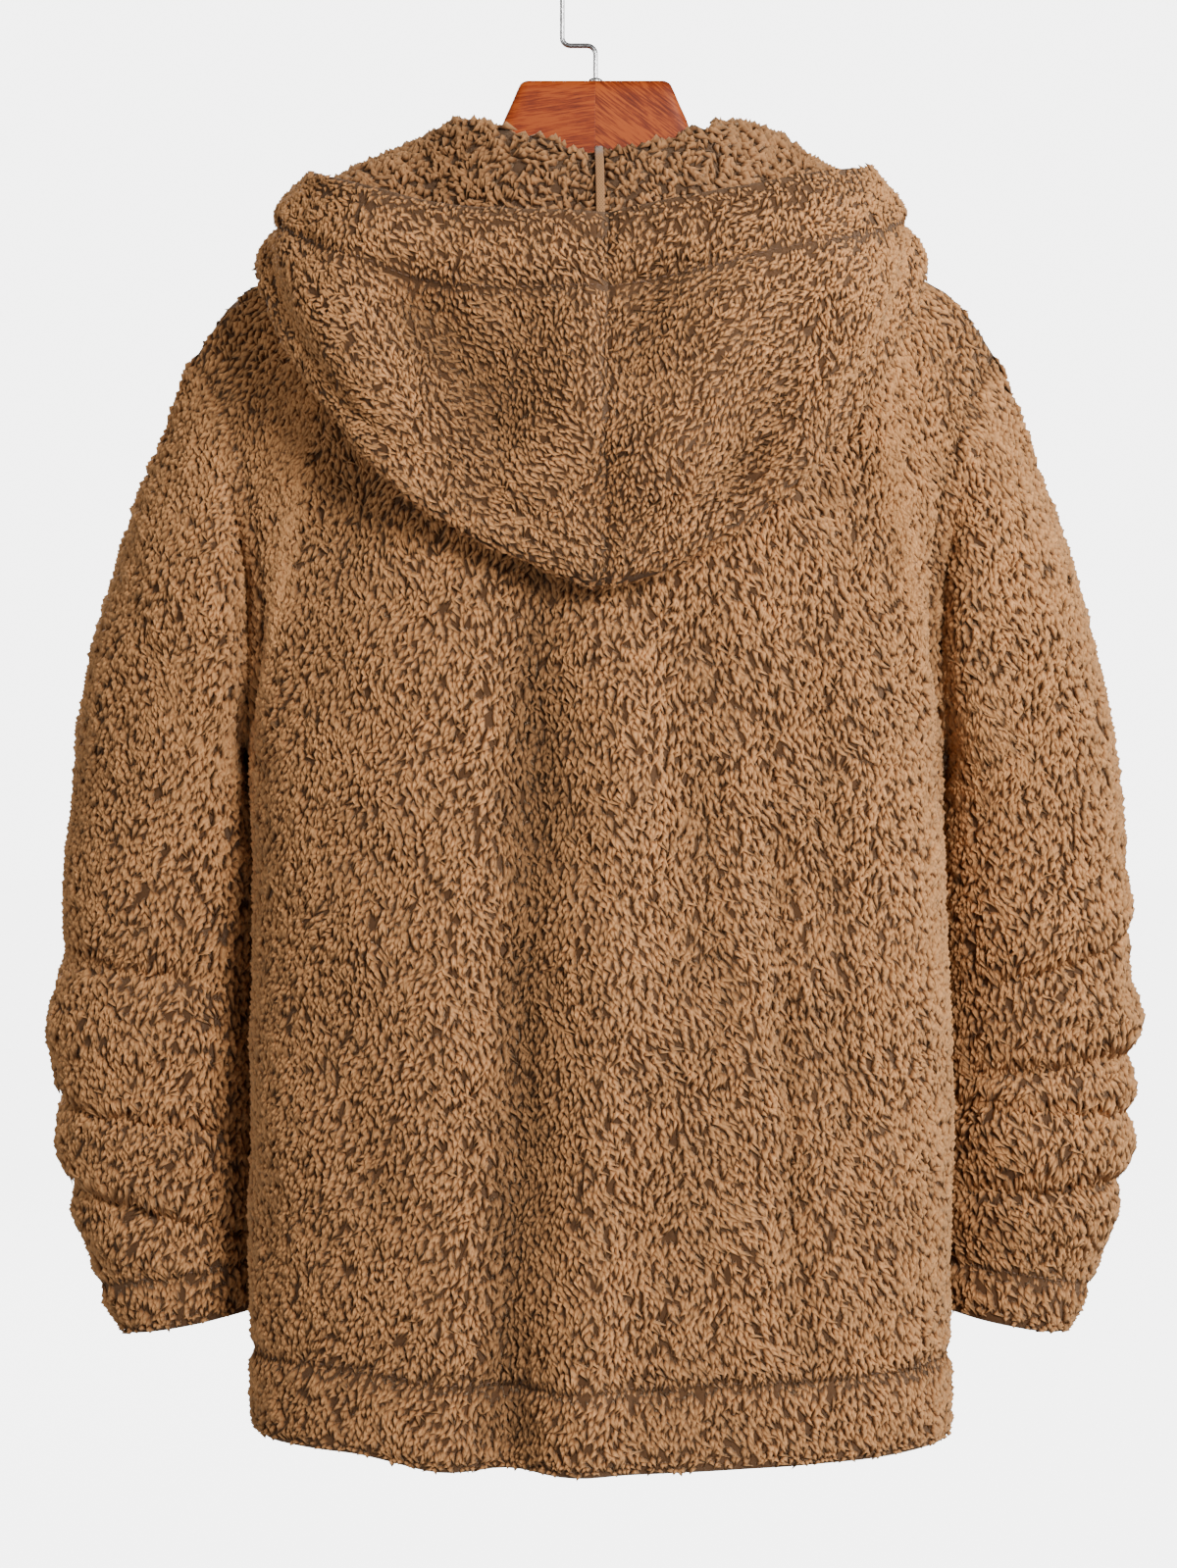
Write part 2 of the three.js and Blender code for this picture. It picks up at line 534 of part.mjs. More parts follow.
// The points round the edge of a grid, each with its neighbours on the edge and its ways out of the grid.
function edgeOf(grid, tube, sewn) {
  const last = { r: grid.length - 1, c: grid[0].length - 1 };
  const row = (r, turned) => {
    const line = grid[0].map((_, c) => ({ r, c }));
    return turned ? line.reverse() : line;
  };
  const out = (r, c) => {
    const ways = [];
    if (r === 0) ways.push({ sewn: sewn.start, from: [1, c] });
    if (r === last.r) ways.push({ sewn: sewn.end, from: [last.r - 1, c] });
    if (!tube && c === 0) ways.push({ sewn: sewn.left, from: [r, 1] });
    if (!tube && c === last.c) ways.push({ sewn: sewn.right, from: [r, last.c - 1] });
    return ways;
  };
  const loops = tube
    ? [row(0, false), row(last.r, true)]
    : [[
        ...row(0, false),
        ...grid.slice(1).map((_, r) => ({ r: r + 1, c: last.c })),
        ...row(last.r, true).slice(1),
        ...grid.slice(1, -1).map((_, r) => ({ r: last.r - 1 - r, c: 0 })),
      ]];
  return loops.map((loop) => loop.map(({ r, c }) => ({ r, c, ways: out(r, c) })));
}

// Makes a closed wall round a grid of points in the middle of the cloth. Sewn edges draw back by half the
// seam's gap, and free edges round out.
function wall({ grid, tube = false, sewn, half, roll = EDGE_ROLL }, normals) {
  const columns = grid[0].length;
  const count = grid.length * columns;
  const place = grid.map((row) => row.map((point) => point.clone()));
  const loops = edgeOf(grid, tube, sewn);
  const middles = [];
  for (const loop of loops) {
    loop.forEach((spot, i) => {
      const { r, c, ways } = spot;
      const here = grid[r][c];
      const before = loop[(i + loop.length - 1) % loop.length];
      const after = loop[(i + 1) % loop.length];
      const outward = vector(0, 0, 0);
      for (const way of ways) {
        const side = here.clone().sub(grid[way.from[0]][way.from[1]]);
        if (ways.length === 1) {
          const run = grid[after.r][after.c].clone().sub(grid[before.r][before.c]).normalize();
          side.addScaledVector(run, -side.dot(run));
        }
        const normal = normals.get(pointKey(here));
        side.addScaledVector(normal, -side.dot(normal)).normalize();
        if (way.sewn) place[r][c].addScaledVector(side, -SEAM_GAP / 2);
        else outward.addScaledVector(side, roll);
      }
      spot.middle = 2 * count + middles.length;
      middles.push(place[r][c].clone().add(outward));
    });
  }
  const faces = (direction) =>
    place.flatMap((row, r) =>
      row.map((point, c) => {
        const normal = normals.get(pointKey(grid[r][c]));
        return point.clone().addScaledVector(normal, direction * half(r, grid));
      }));
  const points = [...faces(1), ...faces(-1), ...middles];
  const triangles = [];
  const add = (...corners) => triangles.push(...corners);
  const id = (r, c) => r * columns + (c % columns);
  for (let r = 0; r + 1 < grid.length; r++) {
    for (let c = 0; c + (tube ? 0 : 1) < columns; c++) {
      const quad = [[r, c], [r, (c + 1) % columns], [r + 1, (c + 1) % columns], [r + 1, c]];
      const [a, b, d, e] = quad.map(([i, j]) => id(i, j));
      const [atA, atB, atD, atE] = quad.map(([i, j]) => grid[i][j]);
      const halves = atA.distanceTo(atD) <= atB.distanceTo(atE) ? [a, b, d, a, d, e] : [a, b, e, b, d, e];
      add(...halves, ...halves.toReversed().map((corner) => count + corner));
    }
  }
  for (const loop of loops) {
    loop.forEach((spot, i) => {
      const after = loop[(i + 1) % loop.length];
      const [p, q] = [id(spot.r, spot.c), id(after.r, after.c)];
      const [m, n] = [spot.middle, after.middle];
      // Both pieces at a seam split each face of it the same way, so a twisted seam stays parted.
      if (pointKey(grid[spot.r][spot.c]) < pointKey(grid[after.r][after.c])) {
        add(q, p, n, p, m, n, n, m, count + q, m, count + p, count + q);
      } else {
        add(q, p, m, q, m, n, n, m, count + p, n, count + p, count + q);
      }
    });
  }
  return geometryOf(points, triangles);
}

function geometryOf(points, triangles) {
  const geometry = new THREE.BufferGeometry();
  const places = points.flatMap((point) => point.toArray());
  geometry.setAttribute("position", new THREE.Float32BufferAttribute(places, 3));
  geometry.setIndex(triangles);
  return geometry;
}

function addMesh(name, geometry, material, parent = jacket) {
  const mesh = new THREE.Mesh(geometry, material);
  mesh.name = name;
  parent.add(mesh);
  return mesh;
}

const all = { start: true, end: true, left: true, right: true };
const openHem = { ...all, start: false };
const openCuff = { ...all, end: false };
const cloth = [
  { name: "back", grid: backGrid, sewn: openHem, half: bodyHalf },
  { name: "front_left", grid: frontGrid(1), sewn: openHem, half: bodyHalf },
  { name: "front_right", grid: frontGrid(-1), sewn: openHem, half: bodyHalf },
  { name: "sleeve_left", grid: sleeveGrid(1), tube: true, sewn: openCuff, half: sleeveHalf },
  { name: "sleeve_right", grid: sleeveGrid(-1), tube: true, sewn: openCuff, half: sleeveHalf },
  { name: "hood_left", grid: hoodGrid(1), sewn: { ...all, end: false, left: false }, half: hoodHalf },
  { name: "hood_right", grid: hoodGrid(-1), sewn: { ...all, end: false, right: false }, half: hoodHalf },
];
const clothNormals = sharedNormals(cloth);
for (const piece of cloth) addMesh(piece.name, wall(piece, clothNormals), MATERIALS.cloth);

// The binding lies over the hood's centre seam, inside the cloth, a little short of the neck and the brim.
function addBinding() {
  const seam = hoodGrid(1).map((row) => row.at(-1));
  const rows = seam.slice(1, BINDING.rows);
  const reach = BINDING.halfWidth;
  const lift = WALL / 2 + BINDING.clear + BINDING.thickness / 2;
  const grid = rows.map((point) => {
    const inside = clothNormals.get(pointKey(point)).clone().multiplyScalar(-lift);
    return [reach, -reach].map((x) => point.clone().add(inside).add(vector(x, 0, 0)));
  });
  const piece = { grid, sewn: all, half: () => BINDING.thickness / 2 };
  addMesh("hood_seam_binding", wall(piece, sharedNormals([piece])), MATERIALS.binding);
}
addBinding();

// Zip. The tapes fill the space between the fronts, from a little above the hem to the neck.
const zipRows = [{ z: HEM_Z + TAPE_FOOT }, ...BODY_ROWS.slice(1, -1), { up: 1 - TAPE_HEAD }]
  .map((row) => bodyPoint(FRONT, 1, 0, row));
const zipMiddle = (r) => zipRows[r].clone().setX(zipRows[r].x - ZIP_HALF);

function addTape(name, side) {
  const grid = zipRows.map((_, r) => {
    const middle = zipMiddle(r);
    const edge = middle.clone().add(vector(side * ZIP_HALF, 0, 0));
    return side > 0 ? [middle, edge] : [edge, middle];
  });
  const piece = { grid, sewn: { ...all, start: false, end: false }, half: () => TAPE_HALF, roll: 0 };
  addMesh(name, wall(piece, sharedNormals([piece])), MATERIALS.tape);
}
addTape("zip_tape_left", 1);
addTape("zip_tape_right", -1);

// Outlines in the upright plane through the zip: their first direction is out of the jacket's front.
function outline(points) {
  return new THREE.Shape(points.map(([out, up]) => new THREE.Vector2(out, up)));
}

// Carries an outline from side to side, so that its first direction points to -Y and its second to +Z.
function sideToSide(shape, halfWidth) {
  const geometry = new THREE.ExtrudeGeometry(shape, { depth: 2 * halfWidth, bevelEnabled: false });
  geometry.translate(0, 0, -halfWidth);
  const turn = new THREE.Matrix4().makeBasis(vector(0, -1, 0), vector(0, 0, 1), vector(-1, 0, 0));
  return geometry.applyMatrix4(turn);
}

// A plate on each face of the tapes, joined past their ends.
function clampOutline({ half, nose, wing, reach }) {
  const clear = reach - wing;
  return outline([
    [-reach, -half], [-clear, -half], [-clear, half - nose], [clear, half - nose],
    [clear, -half], [reach, -half], [reach, half], [-reach, half],
  ]);
}

function solidOf(geometry) {
  const bare = geometry.clone();
  bare.deleteAttribute("normal");
  bare.deleteAttribute("uv");
  const merged = mergeVertices(bare, 1e-4);
  const mesh = new wasm.Mesh({
    numProp: 3,
    vertProperties: merged.attributes.position.array,
    triVerts: new Uint32Array(merged.index.array),
  });
  return new wasm.Manifold(mesh);
}

function geometryFrom(solid) {
  const { numProp, vertProperties, triVerts } = solid.getMesh();
  const geometry = new THREE.BufferGeometry();
  const positions = Float32Array.from({ length: (vertProperties.length / numProp) * 3 }, (_, i) =>
    vertProperties[Math.floor(i / 3) * numProp + (i % 3)]);
  geometry.setAttribute("position", new THREE.BufferAttribute(positions, 3));
  geometry.setIndex(new THREE.BufferAttribute(triVerts, 1));
  return geometry;
}

function sliderGeometry() {
  const bridge = outline([
    [SLIDER.reach - BRIDGE.sunk, -BRIDGE.foot], [BRIDGE.top, -BRIDGE.head],
    [BRIDGE.top, BRIDGE.head], [SLIDER.reach - BRIDGE.sunk, BRIDGE.foot],
  ]);
  bridge.holes.push(outline([
    [BRIDGE.windowIn, -BRIDGE.window], [BRIDGE.windowIn, BRIDGE.window],
    [BRIDGE.windowOut, BRIDGE.window], [BRIDGE.windowOut, -BRIDGE.window],
  ]));
  const body = solidOf(sideToSide(clampOutline(SLIDER), SLIDER.halfWidth));
  return geometryFrom(body.add(solidOf(sideToSide(bridge, BRIDGE.halfWidth))));
}

// The pull: a bar through the bridge's window, two short arms, and a plate with a round end.
function pullGeometry() {
  const plate = new THREE.Shape();
  const straight = -(PULL.length - PULL.halfWidth);
  plate.moveTo(PULL.arm, 0);
  plate.lineTo(PULL.armInner, 0);
  plate.lineTo(PULL.armInner, -PULL.neck);
  plate.lineTo(-PULL.armInner, -PULL.neck);
  plate.lineTo(-PULL.armInner, 0);
  plate.lineTo(-PULL.arm, 0);
  plate.lineTo(-PULL.halfWidth, -PULL.neck);
  plate.lineTo(-PULL.halfWidth, straight);
  plate.absarc(0, straight, PULL.halfWidth, -PI, 0, false);
  plate.lineTo(PULL.halfWidth, -PULL.neck);
  const depth = 2 * PULL.bar;
  const flat = new THREE.ExtrudeGeometry(plate, { depth, bevelEnabled: false, curveSegments: 8 });
  flat.translate(0, 0, -PULL.bar);
  flat.rotateX(PI / 2);
  const bar = new THREE.CylinderGeometry(PULL.bar, PULL.bar, 2 * PULL.barHalf, 10).rotateZ(PI / 2);
  return geometryFrom(solidOf(flat).add(solidOf(bar)));
}

// The slider sits at the top of the closed zip, in line with the tapes there.
function addSliderAndPull() {
  const top = zipMiddle(zipRows.length - 1);
  const below = zipMiddle(zipRows.length - 2);
  const way = top.clone().sub(below).normalize();
  const slider = new THREE.Group();
  slider.position.copy(top).addScaledVector(way, -(SLIDER.half - SLIDER.nose - SEAM_GAP));
  slider.rotation.x = -Math.atan2(way.y, way.z);
  jacket.add(slider);
  addMesh("zip_slider", sliderGeometry(), MATERIALS.metal, slider);
  const pull = addMesh("zip_pull", pullGeometry(), MATERIALS.metal, slider);
  pull.position.y = -PULL.pivot;
}
addSliderAndPull();

function addBox() {
  const foot = zipMiddle(0);
  const box = addMesh("zip_box", sideToSide(clampOutline(BOX), BOX.halfWidth), MATERIALS.metal);
  box.rotation.y = PI;
  box.position.copy(foot).add(vector(0, 0, BOX.half - BOX.nose - SEAM_GAP));
}
addBox();

// Hanger
// Joins rings of points, one after another along +X, and closes both ends with a flat face.
function loft(rings) {
  const sides = rings[0].length;
  const points = rings.flat();
  const triangles = [];
  rings.slice(1).forEach((_, k) => {
    for (let i = 0; i < sides; i++) {
      const [a, b] = [k * sides + i, k * sides + ((i + 1) % sides)];
      triangles.push(a, b, b + sides, a, b + sides, a + sides);
    }
  });
  const end = (rings.length - 1) * sides;
  for (let i = 1; i + 1 < sides; i++) {
    triangles.push(0, i + 1, i);
    triangles.push(end, end + i, end + i + 1);
  }
  return geometryOf(points, triangles);
}

const signedPower = (value, power) => Math.sign(value) * pow(abs(value), power);

function hangerSections() {
  const arm = ARM_STATIONS.map(({ x, drop }) => {
    const top = along(SHOULDER, "x", "z", x) - ARM.seat - drop;
    return { x, top, bottom: top - ARM.height, half: ARM.half, square: ARM.square };
  });
  const { x, top, bottom } = arm.at(-1);
  const tip = { x: x + 4, top: top - 7, bottom: bottom + 5, half: ARM.half * 0.6, square: 1 };
  return [...HANGER, ...arm, tip];
}

function hangerHalf(side) {
  const rings = hangerSections().map(({ x, top, bottom, half, square }) =>
    Array.from({ length: RING_SIDES }, (_, i) => {
      const angle = (side * i * 2 * PI) / RING_SIDES;
      const y = half * signedPower(sin(angle), square);
      const z = (top + bottom) / 2 + ((top - bottom) / 2) * signedPower(cos(angle), square);
      return vector(side * x, y, z);
    }));
  const wood = solidOf(loft(rings.map((ring) => ring.toReversed())));
  const depth = HOOK.intoWood + 2;
  const bore = new THREE.CylinderGeometry(BORE, BORE, depth, ROUND_SIDES).rotateX(PI / 2);
  bore.translate(0, 0, HANGER[0].top + 1 - HOOK.intoWood / 2);
  return geometryFrom(wood.subtract(solidOf(bore)));
}
addMesh("hanger_left", hangerHalf(1), MATERIALS.wood);
addMesh("hanger_right", hangerHalf(-1), MATERIALS.wood);

// The hook: its free end, over the arc, down its straight side, across the jog and down into the wood.
function hookPath() {
  const centre = vector(0, 0, -(HOOK.radius - WIRE));
  const arc = Array.from({ length: HOOK.arcSteps + 1 }, (_, i) => {
    const angle = HOOK.endAngle * (1 - i / HOOK.arcSteps) * (PI / 180);
    return vector(HOOK.radius * cos(angle), 0, centre.z + HOOK.radius * sin(angle));
  });
  const { jogZ, bend, radius, cut, straight } = HOOK;
  return new THREE.CatmullRomCurve3([
    ...arc,
    vector(radius, 0, jogZ + straight),
    vector(radius, 0, jogZ + bend),
    vector(radius - cut, 0, jogZ + cut),
    vector(radius - bend, 0, jogZ),
    vector(bend, 0, jogZ),
    vector(cut, 0, jogZ - cut),
    vector(0, 0, jogZ - bend),
    vector(0, 0, jogZ - straight),
    vector(0, 0, HANGER[0].top - HOOK.intoWood + SEAM_GAP),
  ], false, "centripetal");
}

function addHook() {
  const round = new THREE.Shape(Array.from({ length: HOOK.sides }, (_, i) => {
    const angle = (i * 2 * PI) / HOOK.sides;
    return new THREE.Vector2(WIRE * cos(angle), WIRE * sin(angle));
  }));
  const wire = new THREE.ExtrudeGeometry(round, { steps: HOOK.steps, extrudePath: hookPath() });
  addMesh("hook", wire, MATERIALS.metal);
  const { inner, outer, height } = FERRULE;
  const section = [
    [inner, 0], [outer, 0], [outer, height / 2], [inner + 1, height], [inner, height], [inner, 0],
  ].map(([r, z]) => new THREE.Vector2(r, z));
  const ferrule = new THREE.LatheGeometry(section, ROUND_SIDES).rotateX(PI / 2);
  ferrule.translate(0, 0, HANGER[0].top + SEAM_GAP);
  addMesh("hook_ferrule", ferrule, MATERIALS.metal);
}
addHook();

export default jacket;
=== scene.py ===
import json
import logging
import math
from dataclasses import dataclass, field
from enum import Enum
from typing import Sequence

import bpy
import numpy as np
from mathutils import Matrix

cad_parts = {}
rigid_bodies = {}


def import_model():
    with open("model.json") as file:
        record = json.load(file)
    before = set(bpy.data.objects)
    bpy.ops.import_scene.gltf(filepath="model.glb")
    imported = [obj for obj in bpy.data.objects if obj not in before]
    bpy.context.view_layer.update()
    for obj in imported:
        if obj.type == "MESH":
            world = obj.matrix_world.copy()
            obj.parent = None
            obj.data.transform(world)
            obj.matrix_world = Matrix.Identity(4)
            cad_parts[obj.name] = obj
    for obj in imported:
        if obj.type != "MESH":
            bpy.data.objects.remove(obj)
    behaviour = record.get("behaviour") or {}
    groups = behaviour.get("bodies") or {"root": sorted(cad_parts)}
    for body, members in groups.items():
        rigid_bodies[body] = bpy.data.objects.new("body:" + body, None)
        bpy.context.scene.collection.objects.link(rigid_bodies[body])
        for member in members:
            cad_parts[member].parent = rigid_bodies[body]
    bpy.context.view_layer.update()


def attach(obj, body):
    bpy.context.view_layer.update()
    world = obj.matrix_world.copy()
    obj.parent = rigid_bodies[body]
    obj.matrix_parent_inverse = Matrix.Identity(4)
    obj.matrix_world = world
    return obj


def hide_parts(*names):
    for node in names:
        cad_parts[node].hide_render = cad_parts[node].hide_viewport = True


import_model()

log = logging.getLogger("fleece_jacket")
Array = np.ndarray
MM = 0.001  # the numbers below are millimetres, and meshes are metres

# Cloth
WALL = 8.0  # cloth with the pile of both faces
PILE = 2.5  # how deep the pile's locks stand on the backing
SEAM_GAP = 0.3
EDGE_ROLL = 2.2
HEM_SWELL = 1.6
STITCH_DIP = 2.4
STITCH_WIDTH = 5.0
BODY_HEM = 47.0
CUFF_HEM = 31.0
BRIM_HEM = 40.0
GRID = 6.0  # the backing's usual face, across and along
RELIEF_PASSES = 24  # how often the surface is smoothed to tell its hollows from its ridges
RELIEF_PAINTED_SHADE = 0.048  # painted shade: how much darker the pile is for each mm of hollow, and painted light: how much lighter on ridges, up to a limit

# Torso
HEM_Z = -883.0
HEM_SLANT = 0.012
HEM_LIFT = (80.0, 145.0, 8.0)  # from x, to x, rise
ARMPIT_Z = -470.0
SECTION_POWER = 0.86
ZIP_HALF = 9.0
SHOULDER_STEPS = 6
FOLD_FADE = 70.0
NECK_X, NECK_Y, NECK_Z = 80.0, -3.0, -161.0
FOLDS_START = 0.44
INNER_FOLD = 0.15
BRIM_LIFT, BRIM_REACH = 5.0, 175.0

# Sleeves' deep creases, where the cloth above hangs over them
DEEP_FOLD = -9.5
SHELF_RISE, SHELF_OUT, SHELF_DROP = 9.0, 6.0, 10.0

# The hollow of a sleeve beside its armhole seam: between these heights it grows, this far from the seam
HOLLOW_FROM, HOLLOW_TO, HOLLOW_AWAY, HOLLOW_WIDTH, HOLLOW_DEPTH = -290.0, -390.0, 15.0, 10.0, 24.0

# Hood: the valley beside the roll along its lower edge, and the groove of its centre seam
VALLEY_FROM_TURN, VALLEY_DEPTH, VALLEY_WIDTH = 30.0, 5.5, 15.0
SEAM_GROOVE, SEAM_GROOVE_WIDTH = 3.2, 9.0

# Hanger and hook
ARM_SEAT = WALL / 2 + 2.2
ARM_HEIGHT, ARM_HALF = 27.0, 6.0
WIRE = 1.5
HOOK_RADIUS, JOG_Z, BEND = 20.0, -50.5, 5.0
WOOD_TOP = -73.0


def smooth(low: float, high: float, at: Array) -> Array:
    """Return 0 below low and 1 above high, with the cubic 3t^2 - 2t^3 between them."""
    t = np.clip((at - low) / (high - low), 0, 1)
    return t * t * (3 - 2 * t)


def bell(distance: Array, width: float | Array) -> Array:
    """Return exp(-(distance / width)^2)."""
    return np.exp(-((distance / width) ** 2))


def unit(vectors: Array) -> Array:
    """Return the vectors at length one."""
    return vectors / np.maximum(np.linalg.norm(vectors, axis=-1, keepdims=True), 1e-9)


def mix(a: Array, b: Array, share: Array) -> Array:
    """Return a + (b - a) * share."""
    return a + (b - a) * share


def hermite(start: Array, leave: Array, end: Array, reach: Array, t: Array) -> Array:
    """Return the cubic that leaves start with one tangent and reaches end with another.

    Args:
        start: The point at t = 0.
        leave: The tangent there.
        end: The point at t = 1.
        reach: The tangent there.
        t: How far along, from 0 to 1.

    Returns:
        (2t^3 - 3t^2 + 1) start + (t^3 - 2t^2 + t) leave + (3t^2 - 2t^3) end + (t^3 - t^2) reach.
    """
    t2, t3 = t * t, t * t * t
    return (2 * t3 - 3 * t2 + 1) * start + (t3 - 2 * t2 + t) * leave + (3 * t2 - 2 * t3) * end + (t3 - t2) * reach


class Table:
    """Rows of sizes with named columns, read as smooth curves over the first column."""

    def __init__(self, columns: str, *rows: Sequence[float]) -> None:
        """Keep the rows, whose first column rises."""
        self._names = columns.split()
        self.rows = np.array(rows, float)

    def column(self, name: str) -> Array:
        """Return one column."""
        return self.rows[:, self._names.index(name)]

    def along(self, name: str, at: Array) -> Array:
        """Return a column as the cubic through its rows, with each slope from the rows on either side."""
        key, value = self.rows[:, 0], self.column(name)
        before = np.maximum(np.arange(len(key)) - 1, 0)
        after = np.minimum(np.arange(len(key)) + 1, len(key) - 1)
        slope = (value[after] - value[before]) / (key[after] - key[before])
        i = np.clip(np.searchsorted(key, at) - 1, 0, len(key) - 2)
        span = key[i + 1] - key[i]
        return hermite(value[i], slope[i] * span, value[i + 1], slope[i + 1] * span, (at - key[i]) / span)


def waves(points: Array, size: float, seed: int, count: int = 14) -> Array:
    """Return smooth random relief from about -1 to 1.

    It is the sum of sines of the place along random directions, whose wavelengths are near the size.

    Args:
        points: The places, with their three coordinates last.
        size: The usual wavelength.
        seed: Which relief.
        count: How many sines.

    Returns:
        One value for each place.
    """
    rng = np.random.default_rng(seed)
    ways = unit(rng.normal(size=(count, 3))) * (2 * math.pi / (size * rng.uniform(0.7, 1.5, (count, 1))))
    return np.sin(points @ ways.T + rng.uniform(0, 2 * math.pi, count)).sum(-1) * math.sqrt(2 / count) * 0.7


TORSO = Table(
    "z halfWidth back front sway",
    (-883, 204, 124, 112, -3),
    (-790, 206, 126, 114, -3),
    (-650, 205, 126, 114, -3),
    (-540, 203, 124, 112, -2),
    (-470, 204, 121, 110, 0),
)
SHOULDER = Table(
    "x z", (80, -161), (120, -169), (160, -178), (199, -193), (219, -207), (239, -237)
)
FOLD_COLUMNS = "topX topZ footX footZ depth width"
BACK_FOLDS = Table(
    FOLD_COLUMNS,
    (34, -385, 52, -883, -18, 19),
    (-22, -430, 8, -883, 11, 20),
    (-62, -380, -70, -700, -5, 18),
    (-84, -520, -94, -800, 5, 13),
    (-98, -470, -114, -800, -9, 12),
    (-124, -420, -148, -760, -7, 12),
    (100, -400, 112, -690, 4, 44),
    (136, -670, 118, -760, -6, 15),
)
FRONT_FOLDS = Table(
    FOLD_COLUMNS,
    (76, -430, 62, -883, -7, 24),
    (122, -520, 118, -850, 5, 26),
    (-70, -400, -84, -883, -7, 22),
    (-128, -560, -124, -820, 4, 26),
)
SLEEVE = Table(
    "share outerX outerZ innerX innerZ midY halfDepth",
    (0, 294, -388, 211, -505, -20, 63),
    (0.16, 310, -445, 206, -535, -33, 64),
    (0.34, 319, -515, 204, -572, -43, 63),
    (0.5, 326, -580, 206, -611, -50, 62),
    (0.68, 327, -655, 206, -665, -54, 59),
    (0.84, 320, -728, 207, -726, -55, 54),
    (0.94, 305, -793, 209, -777, -54, 46),
    (1, 288, -828, 210, -813, -52, 42),
)
HEAD_LEAVE = {"outer": (60, 0, -120), "inner": (72, -8, 6), "back": (100, 22, -62), "front": (100, -26, -62)}
HEAD_REACH = {"outer": (55, -34, -150), "inner": (-12, -30, -52), "back": (28, -30, -100), "front": (28, -34, -100)}
SLEEVE_FOLD_COLUMNS = "z lean faces reach depth width"
LEFT_FOLDS = Table(
    SLEEVE_FOLD_COLUMNS,
    (-606, -9, 80, 80, -7, 10),
    (-600, 12, 265, 70, -7, 11),
    (-645, -4, 40, 150, 8, 20),
    (-643, 0, 120, 40, -4, 7),
    (-686, -16, 60, 130, -13, 9),
    (-670, 8, 275, 70, -10, 10),
    (-712, -10, 60, 150, 6, 15),
    (-746, -22, 90, 140, -13, 9),
    (-722, -8, 280, 60, -9, 9),
    (-766, -30, 40, 160, 5, 12),
)
RIGHT_FOLDS = Table(
    SLEEVE_FOLD_COLUMNS,
    (-590, -28, 60, 75, -10, 10),
    (-612, 10, 270, 70, -7, 11),
    (-640, -4, 40, 140, 9, 17),
    (-642, 0, 75, 28, -7, 9),
    (-661, -8, 70, 90, -9, 7),
    (-684, 3, 60, 110, -10, 8),
    (-692, 8, 275, 70, -10, 10),
    (-708, 2, 60, 130, 6, 9),
    (-729, -4, 80, 150, -13, 9),
    (-757, 0, 60, 160, 6, 15),
)
HOOD_FOLDS = Table(
    FOLD_COLUMNS,
    (112, -205, 50, -322, -24, 27),
    (60, -185, 34, -290, -10, 20),
    (4, -180, 3, -315, 9, 17),
    (-112, -165, -20, -338, 14, 20),
    (-40, -185, -12, -280, -10, 15),
    (-136, -232, -66, -345, -8, 16),
)
HOOD_POINTS = ("rise", "fold", "lay", "trail", "turn", "swell", "brim")
HOOD = Table(
    "at heading sway riseOut riseUp foldOut foldUp layOut layUp trailOut trailUp turnOut turnUp "
    "swellOut swellUp brimOut brimUp",
    (0, 168, 0, 0, 10, 1, 19, 3, 26, 5, 31, 7, 36, 9, 41, 11, 46),
    (0.15, 129, 0, -1, 15, 6, 29, 19, 31, 33, 22, 46, 16, 54, 26, 52, 38),
    (0.3, 79, 1, -1, 20, 9, 43, 32, 41, 60, 24, 84, 4, 94, 15, 88, 34),
    (0.4545, 54.7, 3, -1, 22, 13, 53, 50, 38, 98, 2, 136, -42, 127, -6, 101, 23),
    (0.65, 29.8, 3, -1, 24, 13, 54, 42, 0, 80, -78, 122, -149, 146, -78, 126, 3),
    (0.82, 19, 0, -2, 23, 12, 43, 38, -14, 64, -112, 94, -194, 122, -98, 116, -10),
    (1, 0, -7, -2, 20, 10, 32, 38, -22, 58, -122, 80, -222, 110, -112, 106, -18),
)
HANGER = Table(
    "x top bottom half square",
    (0, -73, -182, 11, 0.22),
    (41, -73, -186, 11, 0.22),
    (45, -75, -187, 11, 0.24),
    (50, -86, -188, 11, 0.26),
    (57, -103, -190, 11, 0.3),
    (61, -135, -192, 11, 0.4),
    (65, -159, -193, 11, 0.6),
    (73, -171, -196, 10, 0.7),
    (92, -172.5, -202, 9, 0.75),
)
ARM_DROP = Table("x drop", (120, 0), (160, 0), (199, 3), (210, 5))


# Meshes


@dataclass
class Mesh:
    """A mesh being made: points, faces by their corners, the bake map of each corner, and values of each point."""

    points: Array
    faces: Array
    uv: Array
    values: dict[str, Array] = field(default_factory=dict)
    slots: Array | None = None
    strand: Array | None = None  # each corner's place on its lock, in millimetres


